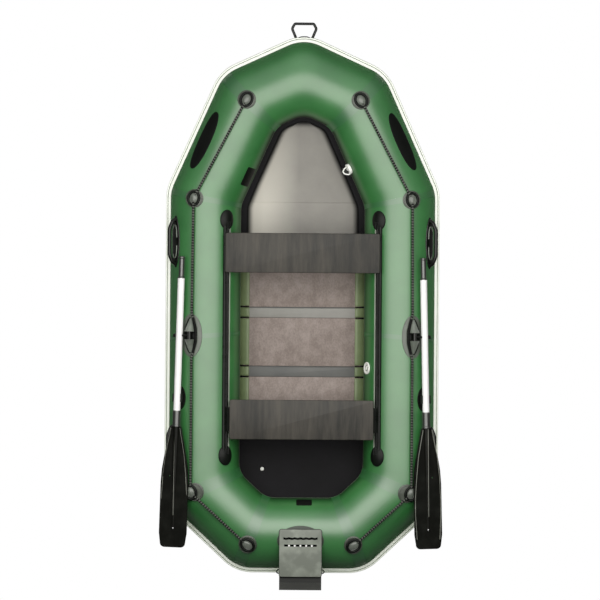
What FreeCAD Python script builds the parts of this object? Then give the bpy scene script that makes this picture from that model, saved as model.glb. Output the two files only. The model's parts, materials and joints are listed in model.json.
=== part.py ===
import FreeCAD, Part
import math
import os
import re
import Sketcher
from FreeCAD import Placement, Rotation, Vector

os.makedirs("parts", exist_ok=True)
doc = FreeCAD.newDocument("InflatableRowingBoat")

# Driving dimensions in millimetres and degrees. X is starboard, Y is forward, Z is up from the floor.
# Plan positions are of the tube's centreline on the starboard side.
driving = [
    ("tube_radius", 170, "radius of the inflated tube"),
    ("half_beam", 471, "side tubes, distance from the middle plane"),
    ("bow_tip_y", 1114, "nose corner"),
    ("cheek_x", 259, "corner between nose and bow panels"),
    ("cheek_y", 995, "same corner"),
    ("shoulder_y", 520, "corner between bow and side panels"),
    ("quarter_y", -884, "corner between side and quarter panels"),
    ("tail_x", 237, "corner between quarter and stern panels"),
    ("tail_y", -1102, "same corner"),
    ("bow_lift_angle", 5, "upward tilt of all that lies ahead of the shoulders"),
    ("glue_gap", 0.3, "gap between a glued piece and its seat"),
    ("strake_height", 48, "rub strake, height"),
    ("strake_proud", 22, "rub strake, how far it stands out"),
    ("strake_groove", 5, "rub strake, depth and half width of the middle groove"),
    ("fabric_thickness", 2, "bottom fabric and floor mat"),
    ("floor_rise", 31, "bottom fabric above the ground"),
    ("floor_inset", 101, "edge of the bottom fabric from the tube's centreline"),
    ("slat_inset", 7, "end of a floor slat from the pocket's outer edge"),
    ("slat_width", 234, "floor slat along the boat"),
    ("slat_thickness", 9, "floor slat"),
    ("slat_pitch", 287, "from one slat to the next"),
    ("slat_front_y", 228, "front edge of the first slat"),
    ("pocket_width", 35, "slat pockets across the boat"),
    ("pocket_clearance", 9, "slat pocket from the tube's inner edge"),
    ("rail_offset", 99, "seat rail from the tube's centreline, towards the middle"),
    ("rail_width", 32, "seat rail"),
    ("rail_height", 12, "seat rail"),
    ("rail_slot", 5, "width of the slot along the rail"),
    ("keder_radius", 4.4, "bead of the seat shoe in the rail"),
    ("keder_clearance", 0.6, "play of the bead"),
    ("rail_front_y", 414, "front end of the rail"),
    ("rail_back_y", -727, "back end of the rail"),
    ("rail_cap_length", 97, "oval cap on each rail end"),
    ("rail_cap_width", 63, "same"),
    ("rail_cap_height", 14, "same"),
    ("seat_drop", 8, "underside of the seat boards below the tubes' tops"),
    ("seat_thickness", 12, "seat board"),
    ("seat_width", 192, "seat board along the boat"),
    ("front_seat_overhang", 2, "end of the front seat board past the rail's middle"),
    ("rear_seat_overhang", -24, "end of the rear seat board past the rail's middle"),
    ("front_seat_y", 255, "middle of the front seat"),
    ("rear_seat_y", -552, "middle of the rear seat"),
    ("shoe_length", 120, "seat shoe along the rail"),
    ("lock_offset", 64, "middle of the oarlock base, outboard of the tube's centreline"),
    ("lock_y", -147, "same, and the seam between the air chambers"),
    ("lock_base_length", 209, "oval base along the boat"),
    ("lock_base_width", 106, "oval base across"),
    ("spool_rise", 27, "spool axis above the tube"),
    ("spool_radius", 10, "spool of the T-pin"),
    ("spool_length", 38, "spool of the T-pin"),
    ("journal_radius", 6, "ends of the spool in the cones"),
    ("journal_length", 12, "same"),
    ("running_gap", 0.05, "radial play of the journals"),
    ("cone_length", 63, "cone fairing beside the spool"),
    ("cone_wide", 24, "its radius at the spool"),
    ("cone_tip", 6, "its radius at the tip"),
    ("oar_reach", 52, "shaft axis from the spool axis"),
    ("oar_splay", 1.6, "angle of the stowed oar in plan"),
    ("stud_radius", 6, "stud through the shaft"),
    ("nut_radius", 9, "round nut at the stud's end"),
    ("nut_length", 12, "same"),
    ("shaft_radius", 16.5, "oar shaft"),
    ("shaft_wall", 2, "oar shaft"),
    ("grip_radius", 13, "oar grip"),
    ("grip_end_y", 383, "end of the grip from the stud"),
    ("grip_start_y", 276, "shaft end at the grip"),
    ("socket_start_y", 364, "shaft end at the socket, aft of the stud"),
    ("socket_end_y", 441, "blade's neck, aft of the stud"),
    ("blade_end_y", 1026, "blade tip, aft of the stud"),
    ("socket_radius", 19, "socket between shaft and blade"),
    ("blade_width", 143, "blade at its widest"),
    ("blade_thickness", 6, "blade"),
    ("clip_y", -449, "middle of the oar clip"),
    ("clip_roll", 42, "clip base from the top of the tube"),
    ("clip_length", 113, "clip base along the tube"),
    ("clip_width", 62, "clip base around the tube"),
    ("clip_wall", 4, "clip base and jaw"),
    ("clip_jaw_length", 39, "jaw along the shaft"),
    ("clip_play", 0.6, "gap between the jaw and the shaft"),
    ("handle_roll", 57, "side grab handle from the top of the tube"),
    ("handle_fore_y", 307, "middle of the fore side handles"),
    ("handle_aft_y", -691, "middle of the aft side handles"),
    ("handle_length", 252, "base of the side handle"),
    ("handle_width", 64, "same"),
    ("handle_grip", 184, "grip between the legs' middles"),
    ("handle_rise", 40, "grip axis above the tube"),
    ("handle_radius", 8, "grip"),
    ("eye_radius", 45, "foot of a rope eye"),
    ("eye_boss_radius", 20, "boss of a rope eye"),
    ("eye_boss_height", 19.5, "same"),
    ("rope_radius", 5.5, "lifeline"),
    ("rope_rise", 12, "lifeline axis above the tube at the eyes"),
    ("rope_clearance", 0.5, "hole around the lifeline"),
    ("rope_bend", 60, "lifeline's bends at the eyes and the oarlock"),
    ("patch_length", 300, "black oval patch on the bow panel"),
    ("patch_width", 84, "same"),
    ("patch_thickness", 1.6, "same"),
    ("valve_radius", 30, "flange of a valve"),
    ("valve_height", 14, "same"),
    ("plate_width", 204, "motor plate and board"),
    ("plate_front_y", -1082, "front edge of the motor plate"),
    ("plate_thickness", 6, "motor plate"),
    ("board_gap", 17, "motor board behind the strake"),
    ("board_layer", 28, "inner layer of the motor board"),
    ("board_step", 14, "inner layer below the top of the outer one"),
    ("board_thickness", 36, "outer layer of the motor board"),
    ("board_height", 230, "motor board"),
    ("foot_thickness", 5, "feet of all glued fittings"),
    ("seat_corner", 8, "rounded corners of the seat boards"),
    ("seat_edge", 3, "rounded edges of the seat boards"),
    ("cheek_eye_out", 17, "rope eye at the cheek, outboard of the corner"),
    ("cheek_eye_ahead", 17, "same, ahead of it"),
    ("shoulder_eye_out", 55, "rope eye at the shoulder"),
    ("shoulder_eye_ahead", 10, "same"),
    ("quarter_eye_out", 43, "rope eye at the quarter"),
    ("quarter_eye_astern", 21, "same, behind the corner"),
    ("tail_eye_out", 19, "rope eye at the tail"),
    ("tail_eye_astern", 55, "same"),
    ("bow_valve_along", 234, "bow valve from the shoulder along the bow panel"),
    ("bow_valve_inset", 8.4, "bow valve from the tube's inner side"),
    ("stern_valve_y", -300, "stern valve"),
    ("stern_valve_inset", 16, "stern valve from the tube's inner side"),
    ("blade_rib_width", 6, "ribs along the edges of the blade"),
    ("blade_rib_rise", 4, "same, above the blade's face"),
    ("blade_hole", 4, "radius of the holes in the blade"),
    ("blade_corner", 22, "rounded corners of the blade's tip"),
    ("plate_bend", 9, "outer radius of the bend in the motor plate"),
    ("plate_slot_length", 19, "slots in the motor plate"),
    ("plate_slot_width", 5, "same"),
    ("plate_slot_pitch", 28, "same, one to the next"),
    ("plate_slot_inset", 44, "first row of slots from the plate's front edge"),
    ("plate_slot_rows", 33, "from the first row of slots to the second"),
    ("quarter_ring_out", 18, "ring of the quarter eye, outboard of its foot's middle"),
    ("board_corner", 12, "rounded lower corners of the motor board"),
    ("boss_chamfer", 3, "top edge of a rope eye's boss"),
    ("shoe_thickness", 4, "walls of the seat shoes"),
    ("bow_handle_roll", 113, "foot of the bow handle from the top of the nose"),
    ("bow_handle_foot_length", 120, "same, across the boat"),
    ("bow_handle_foot_width", 56, "same"),
    ("bow_handle_width", 118, "loop, between the bar's middles"),
    ("bow_handle_reach", 94.7, "loop ahead of its foot"),
    ("bow_handle_bar", 6.5, "radius of the loop's bar"),
    ("patch_shift", 0, "oval patch, forward of the bow panel's middle"),
    ("stern_patch_roll", 11.5, "middle of the stern patch, aft of the tube's top"),
    ("stern_patch_width", 226, "stern patch across the boat"),
    ("stern_patch_height", 141, "stern patch around the tube"),
    ("plate_corner", 22, "front corners of the motor plate"),
    ("flange_depth", 74, "plate's flange against the board"),
    ("motor_foot_drop", 104, "axis of the motor feet below the tubes' tops"),
    ("motor_foot_radius", 18, "motor foot"),
    ("motor_foot_length", 120, "motor foot before it is fitted to the tube"),
]
sheet = doc.addObject("Spreadsheet::Sheet", "Sizes")
for row, (alias, value, meaning) in enumerate(driving, start=1):
    sheet.set("A%d" % row, meaning)
    sheet.set("B%d" % row, str(value))
    sheet.setAlias("B%d" % row, alias)
doc.recompute()
aliases = {alias for alias, value, meaning in driving}


def size(alias):
    return float(sheet.get(alias))


def cells(text):
    """Turns the size names in a formula into references to the sheet."""
    return re.sub(r"[a-z_]+", lambda found: "Sizes." + found.group(0) if found.group(0) in aliases
                  else found.group(0), text)


def bind(item, **formulas):
    for name, text in formulas.items():
        item.setExpression(name.replace("__", "."), cells(text))
    return item


def primitive(kind, name, placement=Placement(), **formulas):
    item = doc.addObject("Part::" + kind, name)
    item.Placement = placement
    return bind(item, **formulas)


def fused(name, pieces):
    item = doc.addObject("Part::MultiFuse", name)
    item.Shapes = pieces
    return item


def common(name, pieces):
    item = doc.addObject("Part::MultiCommon", name)
    item.Shapes = pieces
    return item


def cut(name, base, tool):
    item = doc.addObject("Part::Cut", name)
    item.Base = base
    item.Tool = tool
    return item


def mirrored(name, source):
    item = doc.addObject("Part::Mirroring", name)
    item.Source = source
    item.Normal = (1, 0, 0)
    return item


def feature(name, shape, placement=Placement()):
    item = doc.addObject("Part::Feature", name)
    item.Shape = shape
    item.Placement = placement
    return item


nodes = {}


def node(label, item):
    item.Label = label
    nodes[label] = item
    return item


def both_sides(label, item):
    node(label + "_starboard", item)
    node(label + "_port", mirrored(label + "_mirror", item))


def value_of(body, text):
    found = body.evalExpression(cells(text))
    return getattr(found, "Value", found)


def outline(body, role, points):
    """A closed polygon sketch whose corners are formulas of the sheet's sizes."""
    sketch = body.newObject("Sketcher::SketchObject", body.Name + "_outline")
    plane = [item for item in body.Origin.OriginFeatures if item.Role == role][0]
    sketch.AttachmentSupport = [(plane, "")]
    sketch.MapMode = "FlatFace"
    corners = [[value_of(body, text) for text in point] for point in points]
    count = len(corners)
    for index in range(count):
        start = Vector(*corners[index], 0)
        end = Vector(*corners[(index + 1) % count], 0)
        sketch.addGeometry(Part.LineSegment(start, end))
    for index in range(count):
        sketch.addConstraint(Sketcher.Constraint("Coincident", index, 2, (index + 1) % count, 1))
    for index in range(count):
        for axis, kind in enumerate(("DistanceX", "DistanceY")):
            rule = Sketcher.Constraint(kind, -1, 1, index, 1, corners[index][axis])
            number = sketch.addConstraint(rule)
            sketch.setExpression("Constraints[%d]" % number, cells(points[index][axis]))
    return sketch


def padded(name, role, points, length, placement=Placement()):
    """A polygon drawn on an origin plane and padded to both sides of it."""
    body = doc.addObject("PartDesign::Body", name)
    sketch = outline(body, role, points)
    pad = body.newObject("PartDesign::Pad", name + "_pad")
    pad.Profile = sketch
    pad.SideType = "Symmetric"
    bind(pad, Length=length)
    body.Tip = pad
    body.Placement = placement
    doc.recompute()
    return body


def turned(name, points, placement=Placement()):
    """A profile of radius and height turned about the body's Y axis."""
    body = doc.addObject("PartDesign::Body", name)
    sketch = outline(body, "XY_Plane", points)
    turn = body.newObject("PartDesign::Revolution", name + "_turn")
    turn.Profile = sketch
    turn.ReferenceAxis = (sketch, ["V_Axis"])
    turn.Angle = 360
    body.Tip = turn
    body.Placement = placement
    doc.recompute()
    return body


def rounded(body, radius, pick):
    """Fillets the edges of the body's last shape that pick chooses."""
    doc.recompute()
    tip = body.Tip
    names = ["Edge%d" % (index + 1) for index, edge in enumerate(tip.Shape.Edges) if pick(edge)]
    fillet = body.newObject("PartDesign::Fillet", body.Name + "_fillet")
    fillet.Base = (tip, names)
    bind(fillet, Radius=radius)
    body.Tip = fillet
    doc.recompute()
    return body


def along(axis):
    """Picks the straight edges that run along an axis of the body."""
    def pick(edge):
        if edge.Curve.TypeId != "Part::GeomLine":
            return False
        return abs(edge.tangentAt(edge.FirstParameter).dot(axis)) > 0.999
    return pick


# The tube ring: its corners in plan, and the tilt of the bow about the line through the shoulders
radius = size("tube_radius")
axisRise = radius
bowLift = Placement(Vector(0, 0, 0), Rotation(Vector(1, 0, 0), size("bow_lift_angle")),
                    Vector(0, size("shoulder_y"), axisRise))
ringCorners = {
    "nose": Vector(0, size("bow_tip_y"), axisRise),
    "cheek": Vector(size("cheek_x"), size("cheek_y"), axisRise),
    "shoulder": Vector(size("half_beam"), size("shoulder_y"), axisRise),
    "seam": Vector(size("half_beam"), size("lock_y"), axisRise),
    "quarter": Vector(size("half_beam"), size("quarter_y"), axisRise),
    "tail": Vector(size("tail_x"), size("tail_y"), axisRise),
}


def acrossMiddle(point):
    return Vector(-point.x, point.y, point.z)


def inPlace(corner):
    """A ring corner where it really is, with the bow's lift."""
    point = ringCorners[corner]
    return bowLift.multVec(point) if corner in ("nose", "cheek") else point


def capsule(name, start, end, grown, roundStart=True, roundEnd=True):
    """A tube run from start to end, its radius a formula, with a half ball at each rounded end."""
    run = end - start
    turnTo = Rotation(Vector(0, 0, 1), run)
    pieces = [primitive("Cylinder", name + "_run", Placement(start, turnTo), Radius=grown)]
    pieces[0].Height = run.Length
    if roundStart:
        ball = primitive("Sphere", name + "_start", Placement(start, turnTo), Radius=grown)
        ball.Angle2 = 0
        pieces.append(ball)
    if roundEnd:
        ball = primitive("Sphere", name + "_end", Placement(end, turnTo), Radius=grown)
        ball.Angle1 = 0
        pieces.append(ball)
    return fused(name + "_capsule", pieces)


def mitre(name, corner, away):
    """A block that fills the far side of a mitre plane through a corner."""
    turnTo = Rotation(Vector(0, 0, 1), away)
    reach = 2 * radius
    place = Placement(corner - turnTo.multVec(Vector(reach, reach, 0)), turnTo)
    return primitive("Box", name, place, Length="4 * tube_radius", Width="4 * tube_radius",
                     Height="2 * tube_radius")


def panel(name, before, start, end, after):
    """One tube panel, cut at both ends by the planes that halve its corners."""
    run = (end - start).normalize()
    piece = capsule(name, start, end, "tube_radius", before is not None, after is not None)
    blocks = []
    if before is not None:
        away = (start - before).normalize() + run
        blocks.append(mitre(name + "_mitre_start", start, away * -1))
    if after is not None:
        away = (after - end).normalize() + run
        blocks.append(mitre(name + "_mitre_end", end, away))
    tool = blocks[0] if len(blocks) == 1 else fused(name + "_mitres", blocks)
    return cut(name, piece, tool)


nose, cheek, shoulder = inPlace("nose"), inPlace("cheek"), inPlace("shoulder")
seam, quarter, tail = inPlace("seam"), inPlace("quarter"), inPlace("tail")
both_sides("tube_nose", panel("tube_nose", acrossMiddle(cheek), nose, cheek, shoulder))
both_sides("tube_bow", panel("tube_bow", nose, cheek, shoulder, seam))
both_sides("tube_fore", panel("tube_fore", cheek, shoulder, seam, None))
both_sides("tube_aft", panel("tube_aft", None, seam, quarter, tail))
both_sides("tube_quarter", panel("tube_quarter", seam, quarter, tail, acrossMiddle(tail)))
node("tube_stern", panel("tube_stern", quarter, tail, acrossMiddle(tail), acrossMiddle(quarter)))


ringRuns = {"nose": (nose, cheek), "bow": (cheek, shoulder), "side": (shoulder, quarter),
            "stern": (tail, acrossMiddle(tail)), "quarter_run": (quarter, tail),
            "port_nose": (acrossMiddle(cheek), nose)}
ringCornerRuns = {"nose_corner": ("port_nose", "nose"), "cheek_corner": ("nose", "bow"),
                  "shoulder_corner": ("bow", "side"), "quarter_corner": ("side", "quarter_run"),
                  "tail_corner": ("quarter_run", "stern")}
stretches = {}


def stretch(seat, grown="tube_radius + glue_gap"):
    """One run of the tube, or two runs with the slice of ball that fills their corner."""
    key = seat + " " + grown
    if key in stretches:
        return stretches[key]
    name = "%s_stretch_%d" % (seat, len(stretches))
    if seat in ringRuns:
        start, end = ringRuns[seat]
        place = Placement(start, Rotation(Vector(0, 0, 1), end - start))
        item = primitive("Cylinder", name, place, Radius=grown)
        item.Height = (end - start).Length
    else:
        before, after = ringCornerRuns[seat]
        came = (ringRuns[before][1] - ringRuns[before][0]).normalize()
        corner, following = ringRuns[after]
        goes = (following - corner).normalize()
        pole = came.cross(goes).normalize()
        outward = came.cross(pole)
        place = Placement(corner, Rotation(outward, pole.cross(outward), pole, "ZXY"))
        ball = primitive("Sphere", name + "_ball", place, Radius=grown)
        ball.Angle3 = math.degrees(came.getAngle(goes))
        item = fused(name, [stretch(before, grown), ball, stretch(after, grown)])
    stretches[key] = item
    return item


def onTube(x, y, heading=Vector(0, 1, 0)):
    """The placement on the tube's upper surface over a plan point: Z outwards, Y along heading."""
    plan = Vector(x, y, axisRise)
    best = None
    names = ["nose", "cheek", "shoulder", "quarter", "tail"]
    points = [ringCorners[name] for name in names]
    points = points + [acrossMiddle(ringCorners["tail"])]
    for start, end in zip(points, points[1:]):
        run = end - start
        share = max(0, min(1, (plan - start).dot(run) / run.Length ** 2))
        foot = start + run * share
        if best is None or (plan - foot).Length < (plan - best).Length:
            best = foot
    side = plan - best
    normal = (side + Vector(0, 0, math.sqrt(radius ** 2 - side.Length ** 2))).normalize()
    right = heading.cross(normal).normalize()
    ahead = normal.cross(right)
    place = Placement(best + normal * radius, Rotation(right, ahead, normal, "ZXY"))
    return bowLift * place if y > size("shoulder_y") else place


def overside(roll, y):
    """A placement on the starboard side tube, roll degrees outboard of its top."""
    lean = math.radians(roll)
    normal = Vector(math.sin(lean), 0, math.cos(lean))
    right = Vector(0, 1, 0).cross(normal)
    base = Vector(size("half_beam"), y, axisRise) + normal * radius
    return Placement(base, Rotation(right, Vector(0, 1, 0), normal, "ZXY"))


def ovalPad(name, place, length, width, seat, thickness="foot_thickness"):
    """An oval that follows the tube, from the glue line out to its thickness."""
    ring = primitive("Ellipse", name + "_oval", Placement(Vector(0, 0, 0), Rotation(90, 0, 0)),
                     MajorRadius="(%s) / 2" % length, MinorRadius="(%s) / 2" % width)
    prism = doc.addObject("Part::Extrusion", name + "_prism")
    prism.Base = ring
    prism.DirMode = "Custom"
    prism.Dir = Vector(0, 0, 1)
    prism.Solid = True
    prism.LengthFwd = radius / 2
    prism.LengthRev = radius / 2
    prism.Placement = place
    skin = stretch(seat, "tube_radius + " + thickness)
    return cut(name, common(name + "_shell", [prism, skin]), stretch(seat))


# Rub strake: one profile drawn round the ring at the tube's widest line, with a groove in it
def strakeProfile(start, outward):
    half = size("strake_height") / 2
    inner = radius + size("glue_gap")
    face = radius + size("strake_proud")
    groove = size("strake_groove")
    lean = math.asin(half / inner)

    def at(reach, rise):
        return start + outward * reach + Vector(0, 0, rise)

    hug = Part.Arc(at(inner * math.cos(lean), -half), at(inner, 0), at(inner * math.cos(lean), half))
    edge = [at(inner * math.cos(lean), half), at(face - groove, half), at(face, half - groove),
            at(face, groove), at(face - groove, 0), at(face, -groove), at(face, groove - half),
            at(face - groove, -half), at(inner * math.cos(lean), -half)]
    return Part.Face(Part.Wire([hug.toShape()] + Part.makePolygon(edge).Edges))


def strakeLength(corners):
    """Straight lengths between corners and turned lengths round them, in one flat ring plane."""
    up = Vector(0, 0, 1)
    runs = [(start, end, (end - start).normalize()) for start, end in zip(corners, corners[1:])]
    pieces = []
    for start, end, ahead in runs:
        pieces.append(strakeProfile(start, up.cross(ahead)).extrude(end - start))
    for (first, corner, came), (same, last, goes) in zip(runs, runs[1:]):
        angle = math.degrees(came.getAngle(goes))
        pieces.append(strakeProfile(corner, up.cross(came)).revolve(corner, up * -1, angle))
    return pieces[0].multiFuse(pieces[1:])


def foldBlock(ahead, past=0):
    """A block on one side of the plane that halves the fold at the shoulders, and a little past it."""
    reach = 4 * size("half_beam")
    start = -past if ahead else past - reach
    block = Part.makeBox(reach, reach, reach, Vector(-reach / 2, start, -reach / 2))
    turnTo = Rotation(Vector(1, 0, 0), size("bow_lift_angle") / 2)
    block.Placement = Placement(Vector(0, size("shoulder_y"), axisRise), turnTo)
    return block


flat = ringCorners
strakeOverlap = Vector(0, size("strake_height") / 2, 0)
halfGap = size("glue_gap") / 2
sideStart = flat["shoulder"] + strakeOverlap
sideStrake = strakeLength([sideStart, flat["quarter"], flat["tail"], acrossMiddle(flat["tail"]),
                           acrossMiddle(flat["quarter"]), acrossMiddle(sideStart)])
bowEnd = flat["shoulder"] - strakeOverlap
bowStrake = strakeLength([acrossMiddle(bowEnd), acrossMiddle(flat["shoulder"]),
                          acrossMiddle(flat["cheek"]), flat["nose"], flat["cheek"],
                          flat["shoulder"], bowEnd])
bowStrake.Placement = bowLift
strakePair = Part.makeCompound([sideStrake.cut(foldBlock(True, halfGap)),
                                bowStrake.cut(foldBlock(False, halfGap))])
node("rub_strake", feature("rub_strake", strakePair))


# Bottom fabric: the plan inside the ring, flat under the sides and rising with the bow
def insetLoop(corners, inset):
    """The closed plan polygon a given distance inside a loop of corners that runs anticlockwise."""
    edges = []
    for start, end in zip(corners, corners[1:] + corners[:1]):
        ahead = (end - start).normalize()
        edges.append((start + Vector(-ahead.y, ahead.x, 0) * inset, ahead))
    points = []
    for (base, ahead), (nextBase, nextAhead) in zip(edges, edges[1:] + edges[:1]):
        gap = nextBase - base
        turn = ahead.x * nextAhead.y - ahead.y * nextAhead.x
        points.append(base + ahead * ((gap.x * nextAhead.y - gap.y * nextAhead.x) / turn))
    return points


starboardLoop = [flat["tail"], flat["quarter"], flat["shoulder"], flat["cheek"]]
portLoop = [acrossMiddle(point) for point in reversed(starboardLoop)]
insideLoop = insetLoop(starboardLoop + [flat["nose"]] + portLoop, size("floor_inset"))
floorLine = [Vector(point.x, point.y, size("floor_rise")) for point in insideLoop]
wholeFloor = Part.Face(Part.makePolygon(floorLine + floorLine[:1]))
wholeFloor = wholeFloor.extrude(Vector(0, 0, size("fabric_thickness")))
bowFloor = wholeFloor.copy()
bowFloor.Placement = bowLift
bowFloor = bowFloor.cut(foldBlock(False))
node("bottom_fabric", feature("bottom_fabric", wholeFloor.cut(foldBlock(True)).fuse(bowFloor)))


# Floor: a mat on the bottom fabric, three slats on it, and pockets that hold the slats' ends
def plate(name, across, lengthwise, thickness, x, y, rise):
    """A flat plate centred on x, y with its underside at rise; all its sizes are formulas."""
    item = primitive("Box", name, Length=across, Width=lengthwise, Height=thickness)
    return bind(item, Placement__Base__x="(%s) - (%s) / 2" % (x, across),
                Placement__Base__y="(%s) - (%s) / 2" % (y, lengthwise), Placement__Base__z=rise)


pocketOuter = "(half_beam - tube_radius - pocket_clearance)"
pocketInner = "(%s - pocket_width)" % pocketOuter
slatHalf = "(%s - slat_inset)" % pocketOuter
matLength = "2 * slat_pitch + slat_width"
matMiddle = "slat_front_y - (%s) / 2" % matLength
matRise = "floor_rise + fabric_thickness"
slatRise = matRise + " + fabric_thickness"
node("floor_mat", plate("floor_mat", "2 * " + pocketOuter, matLength, "fabric_thickness", "0",
                        matMiddle, matRise))
for index, name in enumerate(("fore", "middle", "aft")):
    middle = "slat_front_y - slat_width / 2 - %d * slat_pitch" % index
    node("floor_slat_" + name, plate("slat_" + name, "2 * " + slatHalf, "slat_width", "slat_thickness",
                                     "0", middle, slatRise))
pocketTop = plate("pocket_top", "pocket_width", matLength, "fabric_thickness",
                  "(%s + %s) / 2" % (pocketOuter, pocketInner), matMiddle, slatRise + " + slat_thickness")
pocketSide = plate("pocket_side", "slat_inset - glue_gap", matLength, "slat_thickness",
                   "(%s + %s + glue_gap) / 2" % (pocketOuter, slatHalf), matMiddle, slatRise)
both_sides("slat_pocket", fused("slat_pocket", [pocketTop, pocketSide]))

# Seat rails on the inner shoulders of the side tubes: a profile with a keder channel and a slot
railX = size("half_beam") - size("rail_offset")
railMiddle = (size("rail_front_y") + size("rail_back_y")) / 2
railPlace = onTube(railX, railMiddle)
railLength = "rail_front_y - rail_back_y"
railSection = [("-rail_width / 2", "glue_gap"), ("rail_width / 2", "glue_gap"),
               ("rail_width / 2", "rail_height * 0.6"), ("rail_width * 0.36", "rail_height"),
               ("-rail_width * 0.36", "rail_height"), ("-rail_width / 2", "rail_height * 0.6")]
railBar = padded("rail_bar", "XZ_Plane", railSection, railLength, railPlace)
lengthwise = Rotation(Vector(1, 0, 0), 90)
railHalf = (size("rail_front_y") - size("rail_back_y")) / 2
channelPlace = railPlace * Placement(Vector(0, railHalf, size("rail_height") / 2), lengthwise)
channel = primitive("Cylinder", "rail_channel", channelPlace, Height=railLength,
                    Radius="keder_radius + keder_clearance")
slotPlace = railPlace * Placement(Vector(-size("rail_slot") / 2, -railHalf, size("rail_height") / 2),
                                  Rotation())
slot = primitive("Box", "rail_slot_cut", slotPlace, Length="rail_slot", Width=railLength,
                 Height="rail_height")
both_sides("seat_rail", cut("seat_rail", railBar, fused("rail_hollow", [channel, slot])))

# Oval caps that close the rail ends
caps = []
for name, y, inward in (("fore", size("rail_front_y"), -1), ("aft", size("rail_back_y"), 1)):
    capPlace = onTube(railX, y)
    oval = ovalPad("rail_cap_" + name, capPlace, "rail_cap_length", "rail_cap_width", "side",
                   "rail_cap_height")
    gap = size("glue_gap")
    reach = size("rail_cap_length")
    corner = Vector(-size("rail_width") / 2 - gap, -gap if inward > 0 else gap - reach, -gap)
    notch = primitive("Box", "rail_cap_notch_" + name, capPlace * Placement(corner, Rotation()),
                      Length="rail_width + 2 * glue_gap", Width="rail_cap_length",
                      Height="rail_height + 2 * glue_gap")
    caps.append(cut("rail_cap_cut_" + name, oval, notch))
capPair = doc.addObject("Part::Compound", "rail_cap_pair")
capPair.Links = caps
both_sides("rail_caps", capPair)


# Seat boards, and shoes whose beads run in the rails
def seatHalf(overhang):
    return "(half_beam - rail_offset + %s)" % overhang


def seatBoard(label, overhang, middle):
    half = seatHalf(overhang)
    points = [("-" + half, "-seat_width / 2"), (half, "-seat_width / 2"),
              (half, "seat_width / 2"), ("-" + half, "seat_width / 2")]
    board = padded(label, "XY_Plane", points, "seat_thickness")
    rounded(board, "seat_corner", along(Vector(0, 0, 1)))
    rounded(board, "seat_edge", lambda edge: abs(edge.CenterOfMass.z) > size("seat_thickness") / 2 - 0.1)
    bind(board, Placement__Base__y=middle,
         Placement__Base__z="2 * tube_radius - seat_drop + seat_thickness / 2")
    return node(label, board)


def slab(corners, length):
    """A prism along the boat from a closed outline that stands across it."""
    face = Part.Face(Part.makePolygon(corners + corners[:1]))
    face.translate(Vector(0, -length / 2, 0))
    return face.extrude(Vector(0, length, 0))


def seatShoes(label, overhang, middle):
    """A pair of shoes: a sole over the rail, a flange under the board, a web, a tongue and a bead."""
    gap = size("glue_gap")
    height = size("rail_height")
    top = 2 * radius - size("seat_drop")
    edge = railX + size(overhang)
    half = size("rail_width") / 2
    sole = height + gap
    thick = size("shoe_thickness")
    length = size("shoe_length")
    frame = onTube(railX, middle)

    def local(u, n):
        point = frame.multVec(Vector(u, 0, n))
        return Vector(point.x, middle, point.z)

    def across(x, z):
        return Vector(x, middle, z)

    innerEdge = edge - 2 * half
    solePlate = slab([local(-half, sole), local(half * 0.4, sole), local(half * 0.4, sole + thick),
                      local(-half, sole + thick)], length)
    flange = slab([across(innerEdge, top - thick), across(edge, top - thick), across(edge, top),
                   across(innerEdge, top)], length)
    web = slab([local(-half, sole + gap), local(0, sole + gap), across(edge - half * 0.8, top - gap),
                across(innerEdge + gap, top - gap)], length)
    neck = size("rail_slot") / 2 - size("keder_clearance")
    tongue = slab([local(-neck, height / 2), local(neck, height / 2), local(neck, sole + gap),
                   local(-neck, sole + gap)], length)
    bead = Part.makeCylinder(size("keder_radius"), length,
                             local(0, height / 2) - Vector(0, length / 2, 0), Vector(0, 1, 0))
    shoe = solePlate.multiFuse([flange, web, tongue, bead]).removeSplitter()
    pair = Part.makeCompound([shoe, shoe.mirror(Vector(0, 0, 0), Vector(1, 0, 0))])
    return node(label, feature(label, pair))


seatBoard("seat_front", "front_seat_overhang", "front_seat_y")
seatBoard("seat_rear", "rear_seat_overhang", "rear_seat_y")
seatShoes("seat_front_shoes", "front_seat_overhang", size("front_seat_y"))
seatShoes("seat_rear_shoes", "rear_seat_overhang", size("rear_seat_y"))

# Oarlock: an oval base with two cone fairings, and the T-pin whose spool turns between them
lockRoll = math.degrees(math.asin(size("lock_offset") / radius))
lockPlace = overside(lockRoll, size("lock_y"))


def facing(y, n, ahead=1):
    """In the lock's frame, a placement whose Z runs forward or aft."""
    return lockPlace * Placement(Vector(0, y, n), Rotation(Vector(1, 0, 0), -90 * ahead))


fairings = []
for ahead in (1, -1):
    spoolFace = size("spool_length") / 2
    tipFace = spoolFace + size("cone_length")
    wide = primitive("Circle", "cone_wide_%d" % (ahead + 1), Radius="cone_wide")
    wide.Placement = facing(ahead * spoolFace, size("spool_rise"))
    tip = primitive("Circle", "cone_tip_%d" % (ahead + 1), Radius="cone_tip")
    tip.Placement = facing(ahead * tipFace, size("cone_tip") + size("foot_thickness") / 2)
    cone = doc.addObject("Part::Loft", "cone_%d" % (ahead + 1))
    cone.Sections = [wide, tip]
    cone.Solid = True
    cone.Ruled = True
    fairings.append(cone)
lockFoot = ovalPad("lock_foot", lockPlace, "lock_base_length", "lock_base_width", "side")
lockWhole = fused("lock_whole", [lockFoot] + fairings)
journalReach = size("spool_length") / 2 + size("journal_length")
bearing = primitive("Cylinder", "bearing", facing(-journalReach - size("glue_gap"), size("spool_rise")),
                    Radius="journal_radius + running_gap",
                    Height="spool_length + 2 * journal_length + 2 * glue_gap")
both_sides("oarlock_base", cut("oarlock_base", lockWhole, bearing))

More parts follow.
